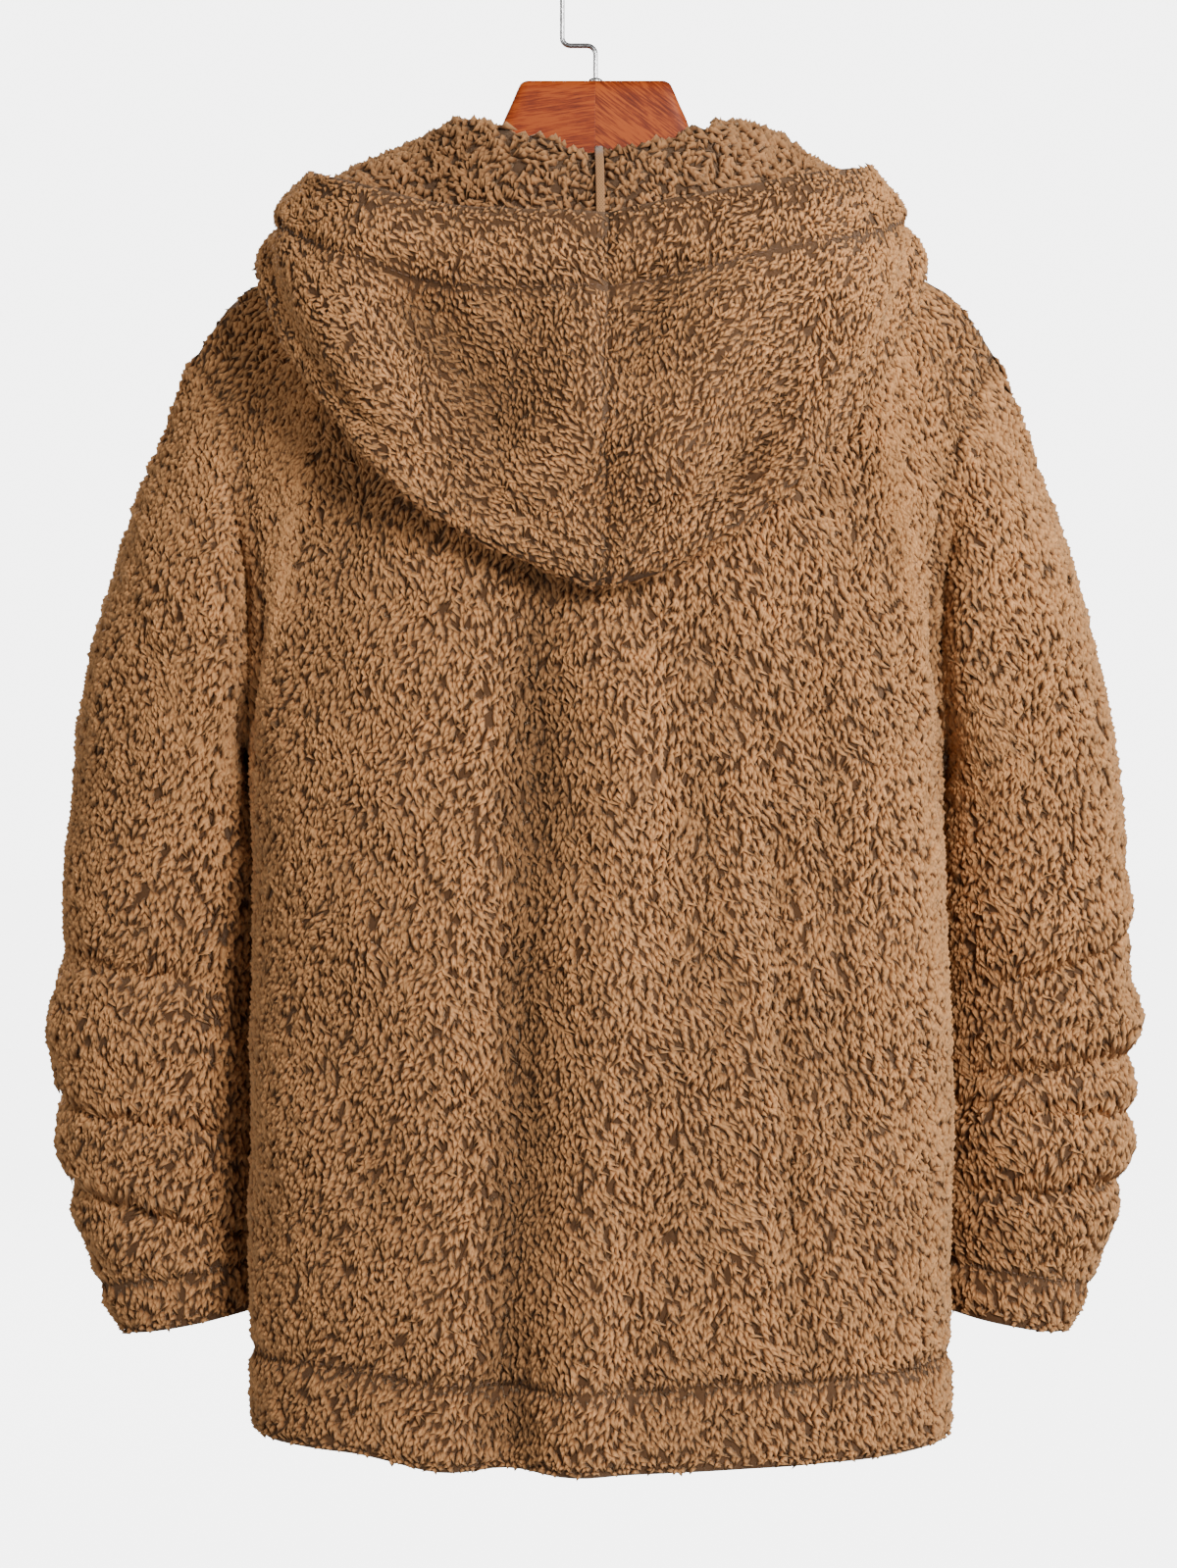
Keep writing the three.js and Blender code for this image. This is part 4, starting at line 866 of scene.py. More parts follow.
class Pile:
    """The locks of pile on one face of a panel."""

    def __init__(self, panel: Panel, nap: Nap, seed: int) -> None:
        """Keep the panel, its nap and the seed of its scatter."""
        self.panel, self.nap, self.rng = panel, nap, np.random.default_rng(seed)

    def _places(self) -> tuple[Array, Array]:
        """Return where the locks stand, in grid steps: one in each cell of an even lattice, moved at random.

        The lattice is even along the grid's mean row and mean column. Where the grid is narrower than at its
        widest, locks are left out at random, so their number to an area stays.
        """
        p, nap, rng, tube = self.panel.middle, self.nap, self.rng, self.panel.tube
        around = np.concatenate([p, p[:, :1]], 1) if tube else p
        row_step = np.linalg.norm(np.gradient(p, axis=0), axis=2)
        column_step = np.linalg.norm(np.gradient(around, axis=1), axis=2)[:, : p.shape[1]]
        row_mean, column_mean = row_step.mean(1), column_step.mean(0)
        crowding = row_step / row_mean[:, None] * column_step / column_mean
        widest = np.percentile(crowding, 96)
        down = np.append(0, np.cumsum((row_mean[1:] + row_mean[:-1]) / 2))
        ring = np.append(column_mean, column_mean[0]) if tube else column_mean
        over = np.append(0, np.cumsum((ring[1:] + ring[:-1]) / 2))
        nr, nc = (int(run[-1] / nap.spacing * math.sqrt(widest)) for run in (down, over))
        i, j = np.meshgrid(np.arange(nr), np.arange(nc), indexing="ij")
        r = (i + 0.5 + rng.uniform(-0.36, 0.36, i.shape)) / nr
        c = (j + 0.25 + 0.5 * (i % 2) + rng.uniform(-0.25, 0.25, i.shape)) / nc
        r = np.interp(r.ravel() * down[-1], down, np.arange(len(down)))
        c = np.interp(np.clip(c.ravel(), 0, 1) * over[-1], over, np.arange(len(over)))
        keep = rng.random(len(r)) < sample(crowding, r, c, tube) / widest
        from_hem = sample(self.panel.from_hem, r, c, self.panel.tube)
        keep &= (from_hem < nap.deepest) & (np.abs(from_hem - self.panel.hem) > 0.9)
        return r[keep], c[keep]

    def mesh(self) -> Mesh:
        """Return the locks: each lies down the nap, turned with its clump, and is closed below."""
        panel, nap, rng = self.panel, self.nap, self.rng
        r, c = self._places()
        outer, inner = panel.faces()
        side = -1.0 if nap.inner else 1.0
        base = sample(inner if nap.inner else outer, r, c, panel.tube)
        normal = unit(sample(panel.normals, r, c, panel.tube)) * side
        hem = sample(panel.from_hem, r, c, panel.tube)
        seam = sample(panel.from_seam, r, c, panel.tube)
        down = np.array([0.0, 0.0, -1.0]) + 0.12 * np.stack([waves(base, 300, k) for k in (5, 6, 7)], 1)
        parting = mix(-20.0, 12.0, smooth(-400, -850, base[:, 2])) + 14 * waves(base, 90, 8)
        down[:, 0] += nap.lean * np.tanh((base[:, 0] - parting) / 70)
        along = unit(down - normal * (down * normal).sum(1, keepdims=True))
        hanging = nap.fringe * smooth(0.10, 0.55, -normal[:, 2]) * smooth(40, 60, hem)
        along = unit(along + hanging[:, None] * np.array([0.0, 0.0, -0.8]))
        turn = nap.wander * waves(base, 42, 11) + nap.scatter * rng.normal(size=len(r))
        turn += 0.3 * nap.wander * waves(base, 14, 12)
        across = unit(np.cross(normal, along))
        up = np.cross(along, across)
        cos, sin = np.cos(turn)[:, None], np.sin(turn)[:, None]
        along, across = along * cos + across * sin, across * cos - along * sin
        clump = waves(base, 15, 21)
        pressed = (1 - 0.8 * bell(hem - panel.hem, 3.2)) * (1 - 0.5 * bell(seam, 2.6))
        size = np.clip(1 + 0.16 * rng.normal(size=len(r)), 0.6, 1.5)
        length = nap.length * size * (0.55 + 0.45 * pressed) * (1 + 0.5 * hanging) * (1 - 0.6 * smooth(12, 2, hem))
        width = nap.width * np.clip(1 + 0.15 * rng.normal(size=len(r)), 0.6, 1.5) * (0.6 + 0.4 * pressed)
        height = nap.height * (1 + 0.22 * clump + 0.16 * rng.normal(size=len(r))) * pressed
        curl = rng.normal(size=(len(r), 1)) * 0.3
        sway = rng.normal(size=(len(r), 1)) * 0.25
        shape = LOCK_POINTS[None]
        out = (shape[..., 0] - 0.32 - nap.cover * smooth(15, 3, hem)[:, None]) * length[:, None]
        over = (shape[..., 1] + curl * np.sin(shape[..., 0] * 4.4) + sway * shape[..., 0] ** 2) * width[:, None]
        rise = shape[..., 2] * height[:, None]
        points = (
            base[:, None] + along[:, None] * out[..., None] + across[:, None] * over[..., None]
            + up[:, None] * rise[..., None]
        )
        tone = nap.tone + 0.10 * rng.normal(size=len(r)) + 0.05 * clump + 0.04 * waves(base, 120, 31)
        # Painted shade in the panel's hollows and painted light on its ridges, from the cloth's relief.
        relief = sample(panel.relief, r, c, panel.tube) * side
        tone += np.clip(RELIEF_PAINTED_SHADE * relief, -0.42, 0.14)
        # Painted shade along the hem's stitching and the seams, and painted light on the locks that hang from
        # overhangs.
        tone += 0.06 * hanging - 0.2 * bell(hem - panel.hem, 3.4) - 0.12 * bell(seam, 3.0)
        tone = np.repeat(np.clip(tone, 0.02, 0.98)[:, None], len(LOCK_POINTS), 1)
        level = np.broadcast_to(shape[..., 3], tone.shape)
        faces = (LOCK_FACES[None] + np.arange(len(r))[:, None, None] * len(LOCK_POINTS)).reshape(-1, 3)
        spread = np.broadcast_to(shape[..., 1] * 0.02, tone.shape)
        place = np.stack([tone + spread, 0.02 + 0.96 * level], 2).reshape(-1, 2)
        own = rng.uniform(0, 400, (len(r), 1, 2))
        strand = np.stack([shape[..., 1] * width[:, None], shape[..., 0] * length[:, None]], 2) + own
        return Mesh(
            points.reshape(-1, 3), faces, place[faces], {"tone": tone.ravel(), "height": level.ravel()},
            strand=strand.reshape(-1, 2)[faces],
        )


# Torso


@dataclass(frozen=True)
class Side:
    """One face of the torso: its depth column, neck, seams' tangents and folds."""

    sign: int
    edge: float
    neck_steps: int
    depth: str
    neck_y: float
    neck_z: float
    leave: dict[str, tuple[float, float, float]]
    reach: dict[str, tuple[float, float, float]]
    folds: Table

    @property
    def neck_share(self) -> float:
        """Return the share across at which the neck seam ends and the shoulder seam begins."""
        return self.neck_steps / (self.neck_steps + SHOULDER_STEPS)


BACK = Side(
    1, 0.0, 6, "back", 66.0, -166.0,
    {"centre": (0, 10, 300), "armhole": (-64, 240, 96)},
    {"centre": (0, -150, 190), "shoulder": (0, -285, 30), "armhole": (160, -240, 192)},
    BACK_FOLDS,
)
FRONT = Side(
    -1, ZIP_HALF, 5, "front", -88.0, -205.0,
    {"centre": (0, -10, 270), "armhole": (-80, -250, 96)},
    {"centre": (0, 70, 230), "shoulder": (0, 285, 30), "armhole": (170, 250, 192)},
    FRONT_FOLDS,
)


def torso_point(side: Side, across: Array, z: Array) -> Array:
    """Return a half panel's points: a rounded-square section, x = w sin^p and y = d cos^p of a quarter turn."""
    angle = across * math.pi / 2
    width = TORSO.along("halfWidth", z) - side.edge
    x = side.edge + width * np.sin(angle) ** SECTION_POWER
    y = side.sign * TORSO.along(side.depth, z) * np.maximum(np.cos(angle), 0) ** SECTION_POWER
    return np.stack([x, y, z], -1)


def top_point(side: Side, across: Array) -> Array:
    """Return the neck seam, a quarter turn, and after it the shoulder seam, at shares across."""
    share = side.neck_share
    angle = np.clip(across / share, 0, 1) * math.pi / 2
    neck = np.stack(
        [
            side.edge + (NECK_X - side.edge) * np.sin(angle),
            NECK_Y + (side.neck_y - NECK_Y) * np.cos(angle),
            side.neck_z + (NECK_Z - side.neck_z) * np.sin(angle) ** 1.3,
        ],
        -1,
    )
    along = np.clip((across - share) / (1 - share), 0, 1)
    x = mix(NECK_X, SHOULDER.column("x")[-1], along)
    seam = np.stack([x, NECK_Y * (1 - along), SHOULDER.along("z", x)], -1)
    return np.where((across < share - 1e-6)[..., None], neck, seam)


def slanting(folds: Table, points: Array) -> Array:
    """Return the relief of straight folds: depth e^-(d/width)^2, d the way from the fold's line, faded at its ends."""
    relief = np.zeros(points.shape[:-1])
    for top_x, top_z, foot_x, foot_z, depth, width in folds.rows:
        line = np.array([foot_x - top_x, foot_z - top_z])
        from_top = points[..., ::2] - (top_x, top_z)
        along = from_top @ line / (line @ line)
        off = (from_top[..., 0] * line[1] - from_top[..., 1] * line[0]) / np.hypot(*line)
        relief += depth * bell(off, width) * smooth(-0.15, 0.2, along) * smooth(1.15, 0.8, along)
    return relief


def body_point(side: Side, hand: int, across: Array, level: Array) -> Array:
    """Return the body's points.

    Args:
        side: Its front or back.
        hand: 1 for the wearer's left, -1 for the right.
        across: From 0 at the centre to 1 at the side seam.
        level: From 0 at the hem to 1 at the armpit, and on to 2 at the top.

    Returns:
        Below the armpit the torso's section with its upright folds. Above it, the cubic from there to the top seam.
    """
    across, level = np.broadcast_arrays(across, level)
    low = np.clip(level, 0, 1)
    z = mix(HEM_Z, ARMPIT_Z, low)
    up = np.clip(level - 1, 0, 1)[..., None]
    to_armhole = smooth(0.62, 1, across)[..., None]
    to_shoulder = smooth(0, side.neck_share, across)[..., None]
    leave, reach = ({k: np.array(v, float) for k, v in d.items()} for d in (side.leave, side.reach))
    leaving = mix(leave["centre"], leave["armhole"], to_armhole)
    reaching = mix(mix(reach["centre"], reach["shoulder"], to_shoulder), reach["armhole"], to_armhole)
    at_armpit = torso_point(side, across, np.full(across.shape, ARMPIT_Z))
    half = np.where(up > 0, hermite(at_armpit, leaving, top_point(side, across), reaching, up), torso_point(side, across, z))
    x = hand * half[..., 0] + np.where(level < 1, TORSO.along("sway", z), 0)
    lifted = HEM_SLANT * (204 - x) + HEM_LIFT[2] * smooth(HEM_LIFT[0], HEM_LIFT[1], x)
    relief = np.zeros(across.shape)
    for top_x, top_z, foot_x, foot_z, depth, width in side.folds.rows:
        middle = mix(top_x, foot_x, (half[..., 2] - top_z) / (foot_z - top_z))
        fade = 1 - smooth(top_z - FOLD_FADE, top_z + FOLD_FADE, half[..., 2])
        if foot_z > HEM_Z:
            fade = fade * smooth(foot_z - FOLD_FADE, foot_z + FOLD_FADE, half[..., 2])
        relief += depth * bell(x - middle, width) * fade
    relief *= 1 - smooth(0.8, 1, across)
    return np.stack([x, half[..., 1] + side.sign * relief, half[..., 2] + lifted * (1 - low)], -1)


class Torso:
    """The back and the two fronts."""

    levels: Array = np.concatenate([np.linspace(0, 0.15, 12), np.linspace(0.15, 1, 38)[1:], np.linspace(1, 2, 44)[1:]])

    @staticmethod
    def _shares(side: Side, count: int) -> Array:
        """Return shares across a half panel whose steps are equally long."""
        share = np.linspace(0, 1, 500)
        run = run_length(torso_point(side, share, np.full(share.shape, -650.0)))
        return np.interp(np.linspace(0, run[-1], count), run, share)

    def _grid(self, side: Side, hands: Sequence[tuple[int, Array]]) -> tuple[Array, Array]:
        """Return a panel's grid, and each point's way up from the hem."""
        level = self.levels[:, None]
        grid = np.concatenate([body_point(side, hand, across[None], level) for hand, across in hands], 1)
        steps = np.linalg.norm(np.diff(grid, axis=0), axis=2)
        return grid, np.concatenate([np.zeros((1, grid.shape[1])), np.cumsum(steps, 0)])

    def back(self) -> Panel:
        """Return the back, from the wearer's left side to the right."""
        half = self._shares(BACK, 36)
        grid, up = self._grid(BACK, [(1, half[::-1]), (-1, half[1:])])
        return Panel("back", grid, up, BODY_HEM, (0.66, 0.76), 0.400, first_row=Edge.FREE)

    def front(self, hand: int) -> Panel:
        """Return one front, with its columns towards -X seen from outside."""
        half = self._shares(FRONT, 34)
        grid, up = self._grid(FRONT, [(hand, half if hand > 0 else half[::-1])])
        name = "front_left" if hand > 0 else "front_right"
        return Panel(name, grid, up, BODY_HEM, (0.32, 0.72), 0.190, first_row=Edge.FREE)


class Sleeve:
    """One sleeve, from its armhole to its cuff."""

    def __init__(self, hand: int) -> None:
        """Keep the side: 1 for the wearer's left."""
        self.hand = hand
        self.folds = LEFT_FOLDS if hand > 0 else RIGHT_FOLDS

    @staticmethod
    def _quarters(table: dict[str, tuple[float, float, float]], angle: Array) -> Array:
        """Return tangents that turn from the outer side through back, inner side and front."""
        outer, inner, back, front = (np.array(table[k], float) for k in ("outer", "inner", "back", "front"))
        cos, sin = np.cos(angle)[..., None], np.sin(angle)[..., None]
        return (
            (outer + inner) / 2 + (outer - inner) / 2 * cos + (back - front) / 2 * sin
            + (back + front - outer - inner) / 2 * sin**2
        )

    def _ring(self, share: Array, angle: Array) -> Array:
        """Return points of tilted oval rings, swelled and creased by the folds that cross them."""
        outer_x, outer_z, inner_x, inner_z, mid_y, depth = (
            SLEEVE.along(name, share) for name in ("outerX", "outerZ", "innerX", "innerZ", "midY", "halfDepth")
        )
        z = mix(inner_z, outer_z, (1 + np.cos(angle)) / 2)
        degrees = np.degrees(angle) % 360
        swell, sunk = np.zeros((2, *np.broadcast(share, angle).shape))
        for fold_z, lean, faces, reach, fold_depth, width in self.folds.rows:
            turned = (degrees - faces + 540) % 360 - 180
            off = z - (fold_z + lean * turned / 90)
            swell = swell + fold_depth * bell(turned, reach) * bell(off, width)
            if fold_depth < DEEP_FOLD:
                shelf = bell(turned, reach) * bell(off - SHELF_RISE, SHELF_RISE)
                swell, sunk = swell + SHELF_OUT * shelf, sunk + SHELF_DROP * shelf
        z = z - sunk
        inward = np.where(np.cos(angle) < 0, INNER_FOLD, 1)
        half = (outer_x - inner_x) / 2
        x = (outer_x + inner_x) / 2 + (half + swell * inward) * np.cos(angle)
        return np.stack([x, mid_y + (depth + swell) * np.sin(angle), z], -1)

    def panel(self) -> Panel:
        """Return the sleeve as a tube whose rows go down, or up on the wearer's right, to face out."""
        turn = np.linspace(0, 2 * math.pi, 56, endpoint=False)
        angle = -turn[None]
        up = np.abs(1 - turn / math.pi)
        front = body_point(FRONT, self.hand, np.ones(len(turn)), 1 + up)
        back = body_point(BACK, self.hand, np.ones(len(turn)), 1 + up)
        loop = np.where((turn <= math.pi)[:, None], front, back)
        start = loop * np.array([self.hand, 1, 1])
        t = np.linspace(0, 1, 27)[:, None] ** 1.3
        zero = np.zeros_like(angle)
        leave, reach = self._quarters(HEAD_LEAVE, angle), self._quarters(HEAD_REACH, angle)
        head = hermite(start[None], leave, self._ring(zero, angle), reach, t[..., None])
        share = np.concatenate([np.linspace(0, FOLDS_START, 15)[1:], np.linspace(FOLDS_START, 1, 58)[1:]])[:, None]
        grid = np.concatenate([head, self._ring(share, angle)])
        sway = np.where(grid[..., 2] < ARMPIT_Z, TORSO.along("sway", np.maximum(grid[..., 2], HEM_Z)), 0)
        grid[..., 0] = self.hand * grid[..., 0] + sway * (1 - np.cos(angle)) / 2
        grid[0] = loop
        from_seam = np.concatenate([zero, np.cumsum(np.linalg.norm(np.diff(grid, axis=0), axis=2), 0)])
        hollow = HOLLOW_DEPTH * bell(from_seam - HOLLOW_AWAY, HOLLOW_WIDTH) * smooth(HOLLOW_FROM, HOLLOW_TO, grid[..., 2])
        grid[..., 1] -= hollow * np.sin(angle)
        if self.hand < 0:
            grid = np.concatenate([grid[:, :1], grid[:, :0:-1]], 1)
        way = np.linalg.norm(np.diff(grid, axis=0), axis=2)
        from_cuff = np.concatenate([np.cumsum(way[::-1], 0)[::-1], np.zeros((1, grid.shape[1]))])
        from_cuff = np.broadcast_to(from_cuff.mean(1, keepdims=True), from_cuff.shape)
        name = "sleeve_left" if self.hand > 0 else "sleeve_right"
        return Panel(name, grid, from_cuff, CUFF_HEM, (0.44, 0.62), 0.215, tube=True, last_row=Edge.FREE)


class Hood:
    """The hood: two halves that lie back, sewn down their middle."""

    rows = 56

    def _sections(self, at: Array, hand: int) -> Array:
        """Return the points that each section's curve goes through, sections x points x 3."""
        step = at * (FRONT.neck_steps + BACK.neck_steps)
        on_front = step <= FRONT.neck_steps + 1e-9
        front = top_point(FRONT, np.clip(step / (FRONT.neck_steps + SHOULDER_STEPS), 0, 1))
        behind = (FRONT.neck_steps + BACK.neck_steps - step) / (BACK.neck_steps + SHOULDER_STEPS)
        seam = np.where(on_front[:, None], front, top_point(BACK, np.clip(behind, 0, 1)))
        heading = np.radians(HOOD.along("heading", at))
        sway = HOOD.along("sway", at)
        points = [np.stack([hand * seam[:, 0], seam[:, 1], seam[:, 2]], 1)]
        for i, name in enumerate(HOOD_POINTS):
            out, up = HOOD.along(name + "Out", at), HOOD.along(name + "Up", at)
            x = hand * (seam[:, 0] + out * np.sin(heading)) + sway * (i + 1) / len(HOOD_POINTS)
            twist = np.where(np.abs(x) < BRIM_REACH, BRIM_LIFT * np.sin(np.pi * x / BRIM_REACH), 0)
            at_brim = max(0, i + 3 - len(HOOD_POINTS)) / 2
            points.append(np.stack([x, seam[:, 1] + out * np.cos(heading), seam[:, 2] + up - twist * at_brim], 1))
        return np.stack(points, 1)

    def half(self, hand: int) -> Panel:
        """Return one half, whose rows climb from the neck seam to the brim in even steps along each section."""
        at = np.linspace(0, 1, 46)
        points = self._sections(at, hand)
        last = points.shape[1] - 1
        slope = np.gradient(points, axis=1)
        t = np.linspace(0, last, 420)
        i = np.minimum(t.astype(int), last - 1)
        curve = hermite(points[:, i], slope[:, i], points[:, i + 1], slope[:, i + 1], (t - i)[None, :, None])
        way = np.concatenate(
            [np.zeros((len(at), 1)), np.cumsum(np.linalg.norm(np.diff(curve, axis=1), axis=2), 1)], axis=1
        )
        total = way[:, -1]
        even = np.linspace(0, 1, self.rows)
        grid = np.stack(
            [
                np.stack([np.interp(even * total[s], way[s], curve[s, :, k]) for k in range(3)], 1)
                for s in range(len(at))
            ],
            1,
        )
        turn_at = np.array([np.interp(HOOD_POINTS.index("turn") + 1, t, way[k]) for k in range(len(at))])
        from_turn = even[:, None] * total[None] - turn_at[None]
        low = smooth(0.2, 0.4, at)[None] * smooth(1.0, 0.86, at)[None]
        valley = VALLEY_DEPTH * bell(from_turn - VALLEY_FROM_TURN, VALLEY_WIDTH) * low
        groove = SEAM_GROOVE * bell(grid[..., 0] - grid[:, -1:, 0], SEAM_GROOVE_WIDTH) * smooth(-40, 0, from_turn)
        facing = unit(np.cross(np.gradient(grid, axis=1) * hand, np.gradient(grid, axis=0)))
        to_brim = (1 - even)[:, None] * total[None]
        folds = slanting(HOOD_FOLDS, grid) * smooth(-10, 15, from_turn) * smooth(20, 60, to_brim)
        grid = grid + facing * (folds - valley - groove)[..., None]
        scale = np.minimum(1, 0.5 * total / 46)
        from_brim = (1 - even)[:, None] * total[None] / scale[None]
        if hand < 0:
            grid, from_brim = grid[:, ::-1], from_brim[:, ::-1]
        name = "hood_left" if hand > 0 else "hood_right"
        edges = {"first_column" if hand > 0 else "last_column": Edge.FREE}
        return Panel(name, grid, from_brim, BRIM_HEM, (0.40, 0.42), 0.120, last_row=Edge.FREE, **edges)


# Sewing


def beads(
    centres: Array, along: Array, across: Array, up: Array, half: tuple[float, float, float], rings: int = 3, sides: int = 5
) -> Mesh:
    """Return small rounded bodies, one at each centre.

    Each is a few rings, r = the root of the sine of the way round, between two ends.

    Args:
        centres: Their middles.
        along: Their long directions.
        across: Their directions across.
        up: Their third directions.
        half: Their half length, half width and half height.
        rings: How many rings each has.
        sides: How many points a ring has.

    Returns:
        The bodies as one mesh of triangles.
    """
    lat = np.linspace(0, math.pi, rings + 2)[1:-1]
    lon = np.arange(sides) * 2 * math.pi / sides
    ring = np.stack(
        [
            np.repeat(-np.cos(lat) * 1.0, sides),
            np.outer(np.sin(lat) ** 0.5, np.cos(lon)).ravel(),
            np.outer(np.sin(lat) ** 0.5, np.sin(lon)).ravel(),
        ],
        1,
    )
    local = np.concatenate([ring, [(-1, 0, 0), (1, 0, 0)]]) * np.array(half)
    quads, _ = grid_faces(rings, sides, True)
    first = np.stack([np.full(sides, rings * sides), (np.arange(sides) + 1) % sides, np.arange(sides)], 1)
    end = (rings - 1) * sides + np.stack([np.arange(sides), (np.arange(sides) + 1) % sides], 1)
    last = np.concatenate([end, np.full((sides, 1), rings * sides + 1)], 1)
    triangles = np.concatenate([quads[:, [0, 1, 2]], quads[:, [0, 2, 3]], first, last])
    points = (
        centres[:, None]
        + along[:, None] * local[None, :, :1]
        + across[:, None] * local[None, :, 1:2]
        + up[:, None] * local[None, :, 2:]
    )
    faces = (triangles[None] + np.arange(len(centres))[:, None, None] * len(local)).reshape(-1, 3)
    flat = np.stack([0.5 + 0.45 * local[:, 0] / half[0], 0.5 + 0.45 * np.arctan2(local[:, 2], local[:, 1]) / math.pi], 1)
    uv = np.tile(flat, (len(centres), 1))[faces]
    return Mesh(points.reshape(-1, 3), faces, uv)


class Sewing:
    """Rows of stitches along the turned hems."""

    pitch = 4.2
    half = (1.55, 0.42, 0.38)

    def row(self, panel: Panel) -> Mesh:
        """Return a panel's stitches, which lie in the groove at its hem line on the outer face."""
        outer, _ = panel.faces()
        rows, columns = panel.middle.shape[:2]
        r = np.array([np.interp(0, *self._rising(panel, c)) for c in range(columns)])
        c = np.arange(columns, dtype=float)
        line = sample(outer, r, np.minimum(c, columns - 1.001) if not panel.tube else c, panel.tube)
        if panel.tube:
            line, r = np.concatenate([line, line[:1]]), np.append(r, r[0])
        at, _ = evenly(line, self.pitch)
        at = (at[1:] + at[:-1]) / 2
        rr = np.interp(at, np.arange(len(r)), r)
        cc = at if panel.tube else np.minimum(at, columns - 1.001)
        centre = sample(outer, rr, cc, panel.tube)
        normal = unit(sample(panel.normals, rr, cc, panel.tube))
        ahead = sample(outer, np.interp(at + 0.3, np.arange(len(r)), r), cc + 0.3, panel.tube)
        along = unit(ahead - centre)
        return beads(centre + normal * 0.35, along, np.cross(normal, along), normal, self.half)

    @staticmethod
    def _rising(panel: Panel, column: int) -> tuple[Array, Array]:
        """Return a column's ways from the hem line, rising, and their rows."""
        way = panel.from_hem[:, column] - panel.hem
        rows = np.arange(len(way), dtype=float)
        return (way, rows) if way[-1] > way[0] else (way[::-1], rows[::-1])


class Jacket:
    """The fleece: seven panels, the pile on them, and their sewing."""

    outside = Nap(spacing=3.5)
    facing = Nap(spacing=3.95, length=11.0, width=5.6)
    sleeve = Nap(spacing=3.55, height=3.1, length=11.0, width=5.2, fringe=1.0)
    hood = Nap(spacing=3.2, length=8.4, width=4.1, height=2.2, lean=-0.8, wander=0.38, scatter=0.15, tone=0.53, cover=0.55)
    # The inner naps' lower tone is painted shade on the faces turned inward.
    hood_inside = Nap(
        spacing=4.15, length=9.5, width=5.6, height=4.0, lean=0.0, inner=True, wander=0.8, tone=0.46, cover=0.4
    )
    hem_inside = Nap(spacing=5.6, length=11.0, width=6.4, height=2.6, inner=True, deepest=56.0, tone=0.45)

    def panels(self) -> list[tuple[Panel, list[Nap]]]:
        """Return each panel with the naps of its pile."""
        torso, hood = Torso(), Hood()
        return [
            (torso.back(), [self.outside, self.hem_inside]),
            (torso.front(1), [self.facing, self.hem_inside]),
            (torso.front(-1), [self.facing, self.hem_inside]),
            (Sleeve(1).panel(), [self.sleeve, self.hem_inside]),
            (Sleeve(-1).panel(), [self.sleeve, self.hem_inside]),
            (hood.half(1), [self.hood, self.hood_inside]),
            (hood.half(-1), [self.hood, self.hood_inside]),
        ]

    def build(self) -> None:
        sewing = Sewing()
        for number, (panel, naps) in enumerate(self.panels()):
            cloth = Piece(panel.name + "_fleece", panel.backing(), [SHADED_GROUND, INNER_GROUND_SHADED], [panel.name])
            for nap in naps:
                where = "lining_pile" if nap.inner else "pile"
                mesh = Pile(panel, nap, 100 + 10 * number + nap.inner).mesh()
                # Inner faces get the darker copy of the pile, painted shade.
                finish = INNER_PILE_SHADED if nap.inner else FLEECE
                Piece(f"{panel.name}_{where}", mesh, [finish]).object
            Piece(panel.name + "_stitches", sewing.row(panel), [THREAD]).object
            log.info("%s: %.4f square metres of cloth", panel.name, panel.surface_area())
        self._seam_tape(Hood().half(1))

    def _seam_tape(self, hood: Panel) -> None:
        """Make the woven tape over the hood's centre seam, inside: a strip lifted off the cloth."""
        reach, thick, lift = 2.5, 1.2, WALL / 2 + 1.4
        centre, normal = hood.middle[:, -1], hood.normals[:, -1]
        way = run_length(centre)
        keep = (way > way[-1] * 0.045) & (way < way[-1] * 0.47)
        centre, normal = centre[keep], normal[keep] * np.array([0, 1, 1])
        line = centre - unit(normal) * lift
        across = np.array([1.0, 0, 0])
        angle = np.linspace(0, 2 * math.pi, 16, endpoint=False)
        flat = np.stack(
            [np.sign(np.cos(angle)) * np.abs(np.cos(angle)) ** 0.4, np.sign(np.sin(angle)) * np.abs(np.sin(angle)) ** 0.6], 1
        )
        ring = line[:, None] + across * (reach * flat[None, :, :1]) - unit(normal)[:, None] * (thick * flat[None, :, 1:])
        Piece("hood_seam_tape", tube_mesh(ring), [NECK_TAPE], ["hood_seam_binding"])


def tube_mesh(rings: Array) -> Mesh:
    """Return a closed tube through rings of points, with a point in the middle of each end.

    Args:
        rings: Rings x points x 3, turning so that the faces point out or in, which is put right here.

    Returns:
        The tube in triangles.
    """
    count, sides = rings.shape[:2]
    quads, places = grid_faces(count, sides, True)
    triangles = np.concatenate([quads[:, [0, 1, 2]], quads[:, [0, 2, 3]]])
    uv = np.concatenate([places[:, [0, 1, 2]], places[:, [0, 2, 3]]]) * 0.96
    ring = np.arange(sides)
    after = (ring + 1) % sides
    start = np.stack([np.full(sides, count * sides), after, ring], 1)
    end = np.stack([np.full(sides, count * sides + 1), ring + (count - 1) * sides, after + (count - 1) * sides], 1)
    round_it = np.stack([np.cos(2 * np.pi * ring / sides), np.sin(2 * np.pi * ring / sides)], 1) * 0.015
    for centre, order in (((0.98, 0.2), (after, ring)), ((0.98, 0.6), (ring, after))):
        cap = np.stack([np.zeros_like(round_it), round_it[order[0]], round_it[order[1]]], 1) + np.array(centre)
        uv = np.concatenate([uv, cap])
    points = np.concatenate([rings.reshape(-1, 3), rings[:1].mean(1), rings[-1:].mean(1)])
    faces = np.concatenate([triangles, start, end])
    a, b, c = (points[faces[:, k]] for k in range(3))
    if (a * np.cross(b, c)).sum() < 0:
        faces, uv = faces[:, ::-1], uv[:, ::-1]
    return Mesh(points, faces, uv)


